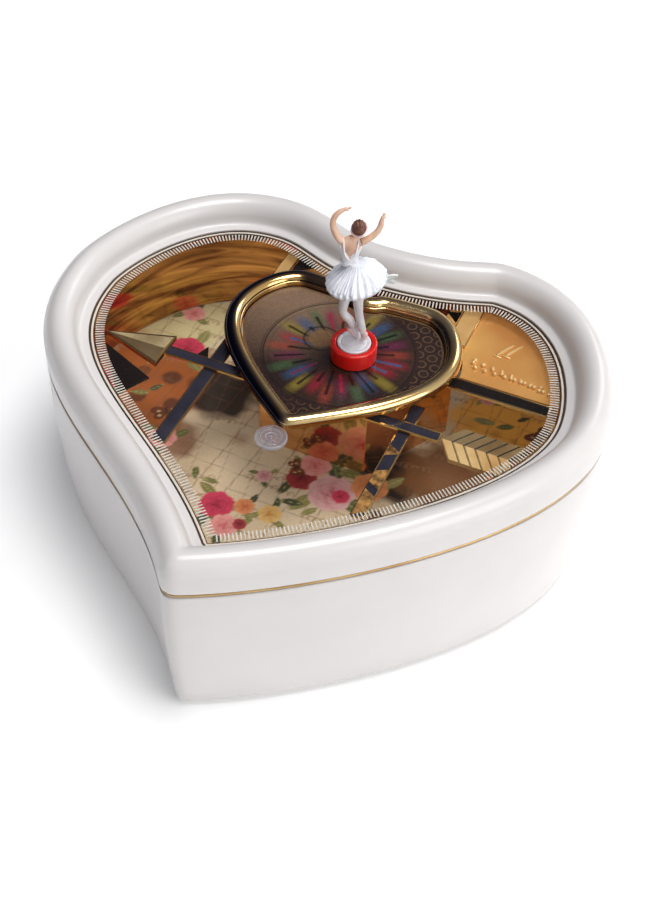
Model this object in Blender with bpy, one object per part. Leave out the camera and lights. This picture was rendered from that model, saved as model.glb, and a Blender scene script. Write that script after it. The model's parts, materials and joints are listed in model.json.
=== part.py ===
"""Ballerina jewellery box: a heart-shaped case with a windowed lid and a magnetic dancer.

Frame: +Z up, the front tip of the heart toward -Y, the hinge at the notch toward +Y.
The origin lies on the ground under the middle of the closed box. Metres throughout.
"""
import math

import bmesh
import bpy
import numpy as np
from mathutils import Matrix, Vector

MM = 0.001
GAP = 0.3 * MM                      # air left between two pieces that touch

# Heart outline at the seam: notch, lobe tops, widest sides and tip, with the Bezier
# handle lengths of each half and the direction in which each side leaves the tip.
HALF_WIDTH = 84.95 * MM
NOTCH = (0.0, 65.96 * MM)
TIP = (-1.7 * MM, -79.98 * MM)
RIGHT = {"lobe": (37.2 * MM, 73.5 * MM), "side": 16.4 * MM, "tip_angle": 1.12,
         "handles": [h * MM for h in (23.6, 6.9, 34.1, 19.7, 38.5, 33.5)]}
LEFT = {"lobe": (-35.8 * MM, 74.8 * MM), "side": 19.3 * MM, "tip_angle": 0.66,
        "handles": [h * MM for h in (14.4, 15.1, 36.3, 12.8, 52.3, 50.7)]}
TIP_ROUND = 4.0 * MM                # length of each side that the rounded tip takes
CASE_POINTS = 72                    # points round a heart-shaped loop of the case

# Gold ring round the stage: a smaller, symmetric heart.
RING_POINTS = 56
RING_CENTRE_X = 2.1 * MM
RING_HALF_WIDTH = 36.3 * MM
RING_NOTCH_Y = 45.2 * MM
RING_TIP_Y = -17.2 * MM
RING_HALF = {"lobe": (19.6 * MM, 48.3 * MM), "side": 26.2 * MM, "tip_angle": 0.93,
             "handles": [h * MM for h in (6.0, 22.5, 9.2, 10.0, 17.2, 21.5)]}

# Heights above the ground.
FOOT_H = 1.5 * MM
BASE_TOP = 50.1 * MM
DECK_BOTTOM = 16.5 * MM
DECK_TOP = 18.9 * MM
CARD_TOP = 20.0 * MM
LID_BOTTOM = 51.5 * MM
RIM_SHOULDER = 56.5 * MM
RIM_TOP = 62.6 * MM
WINDOW_BOTTOM = 52.4 * MM
WINDOW_TOP = 54.1 * MM
LATTICE_BOTTOM = 50.3 * MM          # gold bars under the window
LATTICE_TOP = 52.1 * MM
STAGE_TOP = 54.0 * MM
RING_TOP = 57.2 * MM
HOUSING_TOP = 49.0 * MM

# Case walls.
BASE_DRAFT = 1.9 * MM               # how far the case narrows from the seam to its foot
WALL = 3.2 * MM
LINER_INSET = 5.6 * MM
LINER_THICK = 1.0 * MM
RIM_WIDTH = 9.8 * MM
LEDGE_WIDTH = 12.8 * MM
WINDOW_INSET = 11.3 * MM

# Hinge.
HINGE_Y = 76.9 * MM
HINGE_Z = 46.3 * MM
PIN_R = 1.0 * MM
KNUCKLE_BORE_R = 1.05 * MM
KNUCKLE_R = 1.97 * MM
LEAF_HALF = 7.4 * MM
LID_KNUCKLE_HALF = 3.7 * MM
LEAF_FRONT_Y = 67.2 * MM
LEAF_THICK = 0.8 * MM
LEAF_BASE_BOTTOM = 33.0 * MM
LEAF_LID_TOP = 57.0 * MM
ARM_HALF = 1.0 * MM                 # half the height of a leaf's arm

# Lid fittings: ring band, round boss, arrow and spokes under the window.
RING_BAND = 5.2 * MM
RING_SKIRT_INSET = 2.9 * MM
BOSS_CENTRE = (0.8 * MM, -21.1 * MM)
BOSS_R = 4.6 * MM
ARROW_Y = 1.5 * MM
ARROW_TIP_X = -64.3 * MM
HEAD_BASE_X = -43.9 * MM
HEAD_HALF = 6.7 * MM
SHAFT_HALF = 1.9 * MM
FLETCH_X = 42.6 * MM
FLETCH_LENGTH = 20.0 * MM
FLETCH_SWEEP = 4.4 * MM
FLETCH_HALF = 6.5 * MM
BAR_THICK = 0.7 * MM
UPPER_BAR_BOTTOM = LATTICE_TOP - BAR_THICK
SPOKES = {                          # x0, x1, y0, y1 in millimetres, and whether in the upper layer
    "spoke_left": (-31.0, -26.5, -32.0, 14.0, False),
    "spoke_front": (30.0, 34.0, -34.5, 12.0, False),
    "spoke_right": (34.0, 67.0, 23.1, 27.8, False),
    "spoke_back_left": (-31.0, -26.8, 43.0, 60.0, False),
    "spoke_back_right": (30.0, 35.8, 40.5, 58.0, True),
}
FIELD_LEFT = 25.0 * MM              # the gold field lies right of this and above FIELD_BOTTOM
FIELD_BOTTOM = 28.2 * MM

# Stage and dancer.
STAGE_CENTRE = (3.8 * MM, 19.7 * MM)
CUP_CENTRE = (8.1 * MM, 20.0 * MM)
CUP_R = 6.86 * MM
CUP_H = 5.5 * MM
CUP_RECESS_R = 5.3 * MM
CUP_RECESS_DEPTH = 1.0 * MM
DISC_TOP = 5.9 * MM
DANCER_TURN = math.radians(21.5)    # the way the dancer faces, turned from +Y

# The dancer's body in millimetres about the cup's axis: +Y ahead, heights above the stage.
RIGHT_LEG = [(2.6, 0.5, 6.3), (2.5, 0.3, 8.6), (1.7, 0.0, 12.4), (0.9, 0.4, 16.5), (0.4, 0.2, 21.5),
             (-0.2, 0.0, 27.6)]
LEFT_LEG = [(0.9, 1.6, 6.3), (0.2, 1.5, 8.8), (-1.5, 1.0, 13.0), (-3.6, 0.4, 16.6), (-3.3, 0.2, 21.5),
            (-1.9, 0.0, 27.6)]
LEG_RADII = [0.45, 0.75, 1.2, 1.25, 1.5, 1.6]
TUTU = [(2.4, 28.2), (7.8, 27.8), (8.5, 28.8), (7.8, 30.4), (4.6, 32.8), (2.4, 34.6)]
TUTU_X = -0.4 * MM
TORSO = [(-2.6, 0.0, 35.0), (-2.6, 0.0, 36.8), (-2.6, 0.0, 39.4), (-1.8, 0.2, 42.0), (-0.9, 0.2, 43.5)]
TORSO_RADII = [2.1, 2.1, 2.9, 2.0, 0.9]
HEAD = [(0.9, 43.9), (1.9, 44.8), (2.2, 46.6), (1.9, 48.4), (0.9, 49.4)]
HEAD_X = -0.5 * MM
ARM_LEFT = [(-5.0, 0.3, 43.0), (-7.0, 0.6, 44.8), (-7.6, 1.0, 47.6), (-6.6, 1.3, 50.2), (-3.4, 1.7, 51.8)]
ARM_RIGHT = [(1.1, 0.3, 42.8), (2.8, 0.5, 43.6), (4.7, 0.8, 45.4), (5.5, 1.1, 47.4), (5.8, 1.4, 49.8)]
ARM_RADII = [0.85, 0.85, 0.8, 0.7, 0.45]

# Mirror-faced housing over the movement: the corners of its faceted heart.
HOUSING_CORNERS = [(x * MM, y * MM) for x, y in
                   ((-16.5, 8.0), (18.0, 8.0), (34.5, 36.0), (24.0, 49.0),
                    (1.0, 45.5), (-22.0, 49.0), (-32.5, 36.0))]
HOUSING_WALL = 1.0 * MM

# Under side: board with the key well and the stop slider, and three feet.
BOARD_BOTTOM = FOOT_H + GAP
BOARD_TOP = BOARD_BOTTOM + 1.8 * MM
KEY_WELL_R = 17.0 * MM
SHELF_WIDTH = 3.6 * MM              # the shelf inside the wall that carries the deck
SHELF_THICK = 2.0 * MM
TRIM_SETBACK = 0.25 * MM
TRIM_HEIGHT = 0.7 * MM
KNOB_BOTTOM = 0.6 * MM
KNOB_HALF = 2.0 * MM
KNOB_FLANGE_HALF = 4.5 * MM
KNOB_FLANGE_THICK = 1.2 * MM
FOOT_R = 4.5 * MM
FEET = {"foot_front": (-2.5 * MM, -58.0 * MM), "foot_right": (58.0 * MM, 36.0 * MM),
        "foot_left": (-58.0 * MM, 38.0 * MM)}
SLIDER_X = 24.0 * MM
SLIDER_Y = 6.0 * MM
SLIDER_LENGTH = 5.0 * MM
SLIDER_TRAVEL = 4.4 * MM

# Musical movement under the stage. The barrel turns the output shaft by spur gears and the
# pinned drum by a crown wheel; the drum turns the governor by a pinion and a worm.
MODULE = 0.5 * MM
BARREL_TEETH = 36
OUTPUT_TEETH = 18
DRUM_PINION_TEETH = 18
DRUM_GEAR_TEETH = 24
WHEEL_PINION_TEETH = 8
WHEEL_TEETH = 20
BED_TOP = 20.8 * MM
GEAR_BOTTOM = BED_TOP + 0.5 * MM
GEAR_THICK = 1.6 * MM
BARREL_R = 7.8 * MM
CROWN_R = 9.8 * MM
CROWN_TOP = 31.75 * MM
BARREL_BEARING = math.radians(142.1)    # direction from the output shaft to the barrel
BARREL_REACH = MODULE * (BARREL_TEETH + OUTPUT_TEETH) / 2
BARREL_AXIS = (STAGE_CENTRE[0] + BARREL_REACH * math.cos(BARREL_BEARING),
               STAGE_CENTRE[1] + BARREL_REACH * math.sin(BARREL_BEARING))
DRUM_Y = BARREL_AXIS[1]
DRUM_Z = 36.9 * MM
DRUM_R = 6.2 * MM
DRUM_PIN = 0.6 * MM
DRUM_RINGS = 12
DRUM_LEFT = 5.6 * MM
DRUM_RIGHT = 20.6 * MM
ARBOR_R = 1.0 * MM
DRUM_PINION_X = BARREL_AXIS[0] + MODULE * BARREL_TEETH / 2
WHEEL_Y = DRUM_Y + MODULE * (DRUM_GEAR_TEETH + WHEEL_PINION_TEETH) / 2
WHEEL_X = 26.5 * MM
WORM_R = 1.2 * MM
WORM_Y = WHEEL_Y - MODULE * (WHEEL_TEETH + 1.4) / 2 - GAP - WORM_R
BEARING_R = 1.05 * MM
KEY_SHAFT_R = 1.6 * MM
COMB_TEETH = 18
COMB_TIP_Y = DRUM_Y + DRUM_R + DRUM_PIN + 0.35 * MM
COMB_BACK_Y = 43.0 * MM
COMB_Z = 36.5 * MM
SHAFT_R = 1.2 * MM
SHAFT_BORE_R = 1.25 * MM
ARM_BOTTOM = 44.2 * MM
BED_SCREWS = [(-20.0 * MM, 38.0 * MM), (9.0 * MM, 13.2 * MM)]
COMB_SCREWS = [(9.0 * MM, 41.2 * MM), (17.2 * MM, 41.2 * MM)]
COMB_THICK = 0.8 * MM
COMB_SLIT = 0.3 * MM
COMB_TOOTH = 3.6 * MM
SCREW_HEAD_R = 1.5 * MM
BED_SCREW_R = 0.8 * MM
COMB_SCREW_R = 0.7 * MM
RACE = 0.05 * MM                    # play of a shaft in its bearing
GEAR_HALF = 0.6 * MM                # half the width of the drum's and the governor's gears
SIDE_GEAR_X = DRUM_RIGHT + 1.2 * MM
WHEEL_HALF = 0.5 * MM
WHEEL_ARBOR_R = 0.8 * MM
PLATE_THICK = 1.0 * MM
PLATE_LEFT = -1.2 * MM
PLATE_RIGHT = 24.0 * MM
PLATE_FRONT = 25.6 * MM
PLATE_BACK = 42.2 * MM
PLATE_LEG = 38.9 * MM
PLATE_ARM_BOTTOM = 33.5 * MM
PLATE_TOP = 40.3 * MM
KEY_TOP = 12.3 * MM
KEY_HALF_THICK = 1.1 * MM
CROWN_TOOTH = 0.9 * MM
CROWN_FLANGE = 1.4 * MM
CROWN_WIDTH = 1.6 * MM
FAN_FOOT = 31.0 * MM
FAN_WORM = 34.0 * MM
FAN_CORE_R = 0.8 * MM
FAN_PIVOT_R = 0.5 * MM
FAN_TURNS = 5
FAN_PITCH = 1.2 * MM
FAN_WINGS = (42.0 * MM, 45.6 * MM)
FAN_WING_HALF = (2.4 * MM, 0.25 * MM)
FAN_TOP = 46.2 * MM
MAGNET_ARM_HALF = (5.8 * MM, 3.2 * MM)
MAGNET_ARM_THICK = 1.2 * MM
DRIVE_MAGNET = (3.0 * MM, 1.9 * MM)     # radius and height


# ---------------------------------------------------------------- scene and materials

def clear_scene():
    for obj in list(bpy.data.objects):
        bpy.data.objects.remove(obj, do_unlink=True)


def material(name, colour, roughness, metallic=0.0, alpha=1.0, transmission=0.0):
    mat = bpy.data.materials.new(name)
    mat.use_nodes = True
    shader = mat.node_tree.nodes["Principled BSDF"]
    shader.inputs["Base Color"].default_value = (*colour, 1.0)
    shader.inputs["Roughness"].default_value = roughness
    shader.inputs["Metallic"].default_value = metallic
    shader.inputs["Alpha"].default_value = alpha
    shader.inputs["Transmission Weight"].default_value = transmission
    mat.diffuse_color = (*colour, alpha)
    return mat


def make_materials():
    return {
        "shell_white": material("shell_white", (0.84, 0.83, 0.82), 0.28),
        "gold": material("gold", (0.83, 0.60, 0.30), 0.16, metallic=1.0),
        "gold_mirror": material("gold_mirror", (0.62, 0.40, 0.20), 0.12, metallic=1.0),
        "clear": material("clear", (0.97, 0.96, 0.93), 0.04, alpha=0.3, transmission=1.0),
        "stage_film": material("stage_film", (0.42, 0.30, 0.22), 0.18, alpha=0.8),
        "card_floral": material("card_floral", (0.80, 0.70, 0.55), 0.6),
        "board_white": material("board_white", (0.80, 0.79, 0.77), 0.5),
        "felt_black": material("felt_black", (0.02, 0.02, 0.025), 0.35),
        "rubber": material("rubber", (0.05, 0.05, 0.05), 0.75),
        "steel": material("steel", (0.62, 0.62, 0.64), 0.28, metallic=1.0),
        "brass": material("brass", (0.76, 0.58, 0.28), 0.3, metallic=1.0),
        "gear_white": material("gear_white", (0.86, 0.85, 0.80), 0.4),
        "magnet_red": material("magnet_red", (0.78, 0.05, 0.03), 0.32),
        "dancer_white": material("dancer_white", (0.88, 0.89, 0.92), 0.45),
        "skin": material("skin", (0.80, 0.55, 0.42), 0.5),
    }


def add_object(name, mesh, mat, location=(0.0, 0.0, 0.0), parent=None, smooth=False):
    mesh.materials.append(mat)
    if smooth:
        mesh.shade_smooth()
        mesh.set_sharp_from_angle(angle=math.radians(35))
    obj = bpy.data.objects.new(name, mesh)
    bpy.context.collection.objects.link(obj)
    obj.location = location
    obj.parent = parent
    return obj


def hang(name, mesh, mat, pivot, smooth=False):
    """Adds a mesh that is drawn in world coordinates, moved to a pivot that isn't turned."""
    mesh.transform(Matrix.Translation(-pivot.location))
    return add_object(name, mesh, mat, parent=pivot, smooth=smooth)


def add_empty(name, location, parent=None, turn=0.0):
    empty = bpy.data.objects.new(name, None)
    bpy.context.collection.objects.link(empty)
    empty.location = location
    empty.rotation_euler = (0.0, 0.0, turn)
    empty.parent = parent
    return empty


def finish_mesh(name, bm):
    bmesh.ops.recalc_face_normals(bm, faces=bm.faces)
    mesh = bpy.data.meshes.new(name)
    bm.to_mesh(mesh)
    bm.free()
    return mesh


# ---------------------------------------------------------------- heart outlines

def bezier(p0, p1, p2, p3, count=80):
    t = np.linspace(0.0, 1.0, count)[:, None]
    p0, p1, p2, p3 = (np.array(p) for p in (p0, p1, p2, p3))
    return (1 - t) ** 3 * p0 + 3 * t * (1 - t) ** 2 * p1 + 3 * t ** 2 * (1 - t) * p2 + t ** 3 * p3


def heart_half(notch, tip, side_x, half, sign):
    """Points from the notch over one lobe and down its side to just before the tip."""
    h = half["handles"]
    lobe = np.array(half["lobe"])
    side = np.array((side_x, half["side"]))
    leave = np.array((sign * math.sin(half["tip_angle"]), math.cos(half["tip_angle"])))
    notch = np.array(notch)
    end = np.array(tip) + leave * TIP_ROUND
    across = np.array((sign, 0.0))
    down = np.array((0.0, -1.0))
    over = bezier(notch, notch + across * h[0], lobe - across * h[1], lobe)
    shoulder = bezier(lobe, lobe + across * h[2], side - down * h[3], side)
    flank = bezier(side, side + down * h[4], end + leave * (h[5] - TIP_ROUND), end)
    return np.vstack([over, shoulder[1:], flank[1:]])


def rounded_corner(start, corner, end, count=12):
    t = np.linspace(0.0, 1.0, count)[1:-1, None]
    start, corner, end = (np.array(p) for p in (start, corner, end))
    return (1 - t) ** 2 * start + 2 * t * (1 - t) * corner + t ** 2 * end


def case_outline():
    right = heart_half(NOTCH, TIP, HALF_WIDTH, RIGHT, 1.0)
    left = heart_half(NOTCH, TIP, -HALF_WIDTH, LEFT, -1.0)
    return np.vstack([right, rounded_corner(right[-1], TIP, left[-1]), left[:0:-1]])


def ring_outline():
    notch = (0.0, RING_NOTCH_Y)
    tip = (0.0, RING_TIP_Y)
    right = heart_half(notch, tip, RING_HALF_WIDTH, RING_HALF, 1.0)
    left = right * np.array((-1.0, 1.0))
    points = np.vstack([right, rounded_corner(right[-1], tip, left[-1]), left[:0:-1]])
    return points + np.array((RING_CENTRE_X, 0.0))


def inset_outline(points, distance):
    """Moves a closed outline inward and drops the points that cross over at a corner."""
    if distance == 0.0:
        return points
    tangent = np.roll(points, -1, axis=0) - np.roll(points, 1, axis=0)
    tangent /= np.linalg.norm(tangent, axis=1)[:, None]
    inward = np.column_stack([tangent[:, 1], -tangent[:, 0]])
    moved = points + inward * distance
    to_outline = np.linalg.norm(moved[:, None, :] - points[None, :, :], axis=2).min(axis=1)
    return moved[to_outline > distance - 0.05 * MM]


def walk(points, count):
    """Points spaced evenly along an open polyline, both ends kept."""
    steps = np.concatenate([[0.0], np.cumsum(np.linalg.norm(np.diff(points, axis=0), axis=1))])
    at = np.linspace(0.0, steps[-1], count + 1)
    return np.column_stack([np.interp(at, steps, points[:, axis]) for axis in (0, 1)])


def heart_loop(outline, distance, count=CASE_POINTS):
    """An inset heart with a fixed number of points, its first at the notch, clockwise."""
    points = inset_outline(outline, distance)
    from_notch = np.linalg.norm(points - outline[0] + (0.0, distance), axis=1)
    start = int(np.argmin(from_notch))
    points = np.roll(points, -start, axis=0)
    tip = int(np.argmin(points[:, 1]))
    right = walk(points[:tip + 1], count // 2)
    left = walk(np.vstack([points[tip:], points[:1]]), count // 2)
    return np.vstack([right[:-1], left[:-1]])


# ---------------------------------------------------------------- solids

def swept_heart(name, outline, section, count=CASE_POINTS):
    """Carries a closed section of (inset, height) pairs round a heart."""
    bm = bmesh.new()
    loops = []
    for inset, height in section:
        loop = heart_loop(outline, inset, count)
        loops.append([bm.verts.new((x, y, height)) for x, y in loop])
    for one, two in zip(loops, loops[1:] + loops[:1]):
        for i in range(count):
            j = (i + 1) % count
            bm.faces.new((one[i], one[j], two[j], two[i]))
    return finish_mesh(name, bm)


def slab(name, outlines, bottom, top, axis="Z"):
    """A plate of even thickness. The first outline is its edge, the others are holes.

    On axis X the outlines are (y, z), on axis Y they are (x, z), and the plate runs along it.
    """
    bm = bmesh.new()
    edges = []
    for outline in outlines:
        verts = [bm.verts.new((x, y, 0.0)) for x, y in outline]
        edges += [bm.edges.new((a, b)) for a, b in zip(verts, verts[1:] + verts[:1])]
    bmesh.ops.triangle_fill(bm, edges=edges, use_beauty=True)
    bmesh.ops.translate(bm, verts=bm.verts, vec=(0.0, 0.0, bottom))
    faces = bmesh.ops.extrude_face_region(bm, geom=list(bm.faces))
    top_verts = [item for item in faces["geom"] if isinstance(item, bmesh.types.BMVert)]
    bmesh.ops.translate(bm, verts=top_verts, vec=(0.0, 0.0, top - bottom))
    if axis == "X":
        turn = Matrix(((0, 0, 1, 0), (1, 0, 0, 0), (0, 1, 0, 0), (0, 0, 0, 1)))
        bmesh.ops.transform(bm, matrix=turn, verts=bm.verts)
    if axis == "Y":
        turn = Matrix(((1, 0, 0, 0), (0, 0, 1, 0), (0, 1, 0, 0), (0, 0, 0, 1)))
        bmesh.ops.transform(bm, matrix=turn, verts=bm.verts)
    return finish_mesh(name, bm)


def turned(name, profile, segments=32, axis="Z"):
    """A solid of revolution; the profile is (radius, height) from bottom to top."""
    bm = bmesh.new()
    rings = []
    for radius, height in profile:
        if radius == 0.0:
            rings.append([bm.verts.new((0.0, 0.0, height))])
            continue
        angles = [2 * math.pi * i / segments for i in range(segments)]
        rings.append([bm.verts.new((radius * math.cos(a), radius * math.sin(a), height))
                      for a in angles])
    for low, high in zip(rings, rings[1:]):
        for i in range(segments):
            j = (i + 1) % segments
            corners = [low[i % len(low)], low[j % len(low)], high[j % len(high)], high[i % len(high)]]
            bm.faces.new(list(dict.fromkeys(corners)))
    for ring in (rings[0], rings[-1]):
        if len(ring) > 1:
            bm.faces.new(ring)
    if axis == "X":
        bmesh.ops.transform(bm, matrix=Matrix.Rotation(math.pi / 2, 4, "Y"), verts=bm.verts)
    return finish_mesh(name, bm)


def tube(name, points, radii, segments=10):
    """A round limb through the given points, its radius changing along the way."""
    bm = bmesh.new()
    points = [Vector(p) for p in points]
    rings = []
    for i, (point, radius) in enumerate(zip(points, radii)):
        before = points[max(i - 1, 0)]
        after = points[min(i + 1, len(points) - 1)]
        turn = (after - before).to_track_quat("Z", "Y")
        ring = []
        for k in range(segments):
            angle = 2 * math.pi * k / segments
            offset = turn @ Vector((radius * math.cos(angle), radius * math.sin(angle), 0.0))
            ring.append(bm.verts.new(point + offset))
        rings.append(ring)
    for low, high in zip(rings, rings[1:]):
        for k in range(segments):
            j = (k + 1) % segments
            bm.faces.new((low[k], low[j], high[j], high[k]))
    bm.faces.new(rings[0])
    bm.faces.new(rings[-1])
    return finish_mesh(name, bm)


def grown(corners, distance):
    """A faceted outline moved outward (or inward, if negative) by the same distance."""
    corners = [Vector(c) for c in corners]
    result = []
    for before, here, after in zip(corners[-1:] + corners[:-1], corners, corners[1:] + corners[:1]):
        first = (here - before).normalized()
        second = (after - here).normalized()
        side = Vector((first.y, -first.x))
        bisector = (side + Vector((second.y, -second.x))).normalized()
        result.append(tuple(here + bisector * (distance / bisector.dot(side))))
    return result


def circle(centre, radius, segments=24):
    return [(centre[0] + radius * math.cos(2 * math.pi * i / segments),
             centre[1] + radius * math.sin(2 * math.pi * i / segments)) for i in range(segments)]


def rectangle(x0, x1, y0, y1):
    return [(x0, y0), (x1, y0), (x1, y1), (x0, y1)]


def gear_outline(teeth, toward=0.0, height=1.3, width=0.3):
    """Trapezoid teeth, one of them toward an angle.

    The height is in modules, and the width is the tooth's share of the pitch at mid height.
    """
    pitch_r = teeth * MODULE / 2
    tip_r = pitch_r + MODULE * height / 2
    root_r = pitch_r - MODULE * height / 2 - 0.15 * MM
    step = 2 * math.pi / teeth
    points = []
    for i in range(teeth):
        for radius, share in ((root_r, -width * 0.7), (tip_r, -width * 0.3),
                              (tip_r, width * 0.3), (root_r, width * 0.7)):
            angle = toward + step * (i + share)
            points.append((radius * math.cos(angle), radius * math.sin(angle)))
    return points


def helper(name, mesh):
    """A hidden solid that only shapes another one."""
    obj = bpy.data.objects.new(name, mesh)
    bpy.context.collection.objects.link(obj)
    obj.hide_render = True
    obj.display_type = "WIRE"
    return obj


def boolean(obj, other, operation):
    modifier = obj.modifiers.new(other.name, "BOOLEAN")
    modifier.operation = operation
    modifier.solver = "EXACT"
    modifier.object = other


# ---------------------------------------------------------------- case

def build_shell(mats, case):
    """White wall of the case, with the ledge that carries the deck."""
    ledge = DECK_BOTTOM - GAP
    chamfer = 0.8 * MM
    shelf = WALL + SHELF_WIDTH
    shelf_root = shelf - SHELF_THICK
    section = [(BASE_DRAFT + chamfer, BOARD_BOTTOM), (BASE_DRAFT, BOARD_BOTTOM + chamfer),
               (0.6 * BASE_DRAFT, BASE_TOP - 36.1 * MM), (0.0, BASE_TOP - 12.0 * MM), (0.0, BASE_TOP),
               (WALL, BASE_TOP), (WALL + 1.0 * MM, ledge),
               (shelf, ledge), (shelf, ledge - SHELF_THICK),
               (shelf_root, ledge - 2 * SHELF_THICK), (BASE_DRAFT + WALL, BOARD_BOTTOM)]
    add_object("base_shell", swept_heart("base_shell", case, section), mats["shell_white"], smooth=True)


def build_trim_and_liner(mats, case):
    """Gold strip on the edge of the case, and the gold mirror foil inside its wall."""
    bottom = BASE_TOP + GAP
    top = bottom + TRIM_HEIGHT
    trim = [(TRIM_SETBACK, bottom), (TRIM_SETBACK, top), (WALL, top), (WALL, bottom)]
    add_object("base_trim", swept_heart("base_trim", case, trim), mats["gold"], smooth=True)

    inner = LINER_INSET + LINER_THICK
    bottom = CARD_TOP + GAP
    top = BASE_TOP - 0.4 * MM
    liner = [(LINER_INSET, bottom), (LINER_INSET, top), (inner, top), (inner, bottom)]
    add_object("wall_liner", swept_heart("wall_liner", case, liner), mats["gold_mirror"], smooth=True)


def build_deck_and_card(mats, case):
    """The board that carries the movement, and the printed card that floors the compartments."""
    edge = heart_loop(case, WALL + 1.4 * MM)
    holes = [circle(BARREL_AXIS, 2.6 * MM)] + [circle(spot, 1.1 * MM, 12) for spot in BED_SCREWS]
    deck = slab("inner_deck", [edge] + holes, DECK_BOTTOM, DECK_TOP)
    add_object("inner_deck", deck, mats["board_white"])

    opening = grown(HOUSING_CORNERS, GAP)
    card = slab("floor_card", [heart_loop(case, LINER_INSET), opening], DECK_TOP + GAP, CARD_TOP)
    add_object("floor_card", card, mats["card_floral"])


def build_underside(mats, case):
    edge = heart_loop(case, BASE_DRAFT + WALL + 0.7 * MM)
    well = circle(BARREL_AXIS, KEY_WELL_R, 32)
    half = KNOB_HALF + GAP
    slot = rectangle(SLIDER_X - half, SLIDER_X + half, SLIDER_Y - SLIDER_LENGTH, SLIDER_Y + SLIDER_LENGTH)
    board = slab("bottom_board", [edge, well, slot], BOARD_BOTTOM, BOARD_TOP)
    add_object("bottom_board", board, mats["board_white"])
    for name, spot in FEET.items():
        profile = [(FOOT_R - 0.4 * MM, 0.0), (FOOT_R, 0.4 * MM), (FOOT_R, FOOT_H)]
        add_object(name, turned(name, profile, 24), mats["rubber"], location=(*spot, 0.0), smooth=True)


def build_stop_slider(mats):
    """A T-shaped button that slides in the slot of the bottom board."""
    flange_bottom = BOARD_TOP + GAP
    flange_top = flange_bottom + KNOB_FLANGE_THICK
    right = [(KNOB_HALF, KNOB_BOTTOM), (KNOB_HALF, flange_bottom), (KNOB_FLANGE_HALF, flange_bottom),
             (KNOB_FLANGE_HALF, flange_top)]
    section = right + [(-y, z) for y, z in right[::-1]]
    half = SLIDER_LENGTH / 2
    mesh = slab("stop_slider", [section], -half, half, axis="Y")
    location = (SLIDER_X, SLIDER_Y - SLIDER_TRAVEL / 2, 0.0)
    add_object("stop_slider", mesh, mats["felt_black"], location=location)


def build_housing(mats):
    """The mirror-faced cover over the movement: a faceted heart, open below."""
    bm = bmesh.new()
    bottom = DECK_TOP + GAP
    inner = grown(HOUSING_CORNERS, -HOUSING_WALL)
    lower_out = [bm.verts.new((x, y, bottom)) for x, y in HOUSING_CORNERS]
    upper_out = [bm.verts.new((x, y, HOUSING_TOP)) for x, y in HOUSING_CORNERS]
    lower_in = [bm.verts.new((x, y, bottom)) for x, y in inner]
    upper_in = [bm.verts.new((x, y, HOUSING_TOP - HOUSING_WALL)) for x, y in inner]
    count = len(inner)
    for one, two in ((lower_out, upper_out), (lower_in, lower_out), (upper_in, lower_in)):
        for i in range(count):
            j = (i + 1) % count
            bm.faces.new((one[i], one[j], two[j], two[i]))
    bm.faces.new(upper_out)
    bm.faces.new(upper_in)
    add_object("movement_housing", finish_mesh("movement_housing", bm), mats["gold_mirror"])


# ---------------------------------------------------------------- hinge

def leaf_section(plate_bottom, plate_top):
    """Side view (y, z) of a leaf: an upright plate and an arm that ends in a knuckle."""
    back = LEAF_FRONT_Y + LEAF_THICK
    reach = math.asin(ARM_HALF / KNUCKLE_R)
    turn = np.linspace(reach - math.pi, math.pi - reach, 22)
    knuckle = [(HINGE_Y + KNUCKLE_R * math.cos(a), HINGE_Z + KNUCKLE_R * math.sin(a)) for a in turn]
    below = [(LEAF_FRONT_Y, plate_bottom)]
    if plate_bottom < HINGE_Z - ARM_HALF:
        below += [(back, plate_bottom), (back, HINGE_Z - ARM_HALF)]
    above = [(LEAF_FRONT_Y, plate_top)]
    if plate_top > HINGE_Z + ARM_HALF:
        above = [(back, HINGE_Z + ARM_HALF), (back, plate_top)] + above
    return below + knuckle + above


def build_hinge(mats, lid):
    """Two leaves in the notch of the heart and the pin that joins them."""
    bore = circle((HINGE_Y, HINGE_Z), KNUCKLE_BORE_R, 24)
    section = leaf_section(LEAF_BASE_BOTTOM, HINGE_Z + ARM_HALF)
    mesh = slab("hinge_leaf_base", [section, bore], -LEAF_HALF, LEAF_HALF, axis="X")
    leaf = add_object("hinge_leaf_base", mesh, mats["gold"])
    recess = rectangle(LEAF_FRONT_Y - 1.0 * MM, HINGE_Y + 3.0 * MM,
                       HINGE_Z - KNUCKLE_R - GAP, HINGE_Z + KNUCKLE_R + GAP)
    cut_half = LID_KNUCKLE_HALF + GAP
    cutter = helper("knuckle_recess", slab("knuckle_recess", [recess], -cut_half, cut_half, axis="X"))
    boolean(leaf, cutter, "DIFFERENCE")

    section = leaf_section(HINGE_Z - ARM_HALF, LEAF_LID_TOP)
    mesh = slab("hinge_leaf_lid", [section, bore], -LID_KNUCKLE_HALF, LID_KNUCKLE_HALF, axis="X")
    hang("hinge_leaf_lid", mesh, mats["gold"], lid)

    pin = [(PIN_R, -LEAF_HALF), (PIN_R, LEAF_HALF)]
    add_object("hinge_pin", turned("hinge_pin", pin, 24, axis="X"), mats["steel"],
               location=(0.0, HINGE_Y, HINGE_Z), smooth=True)


# ---------------------------------------------------------------- lid

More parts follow.
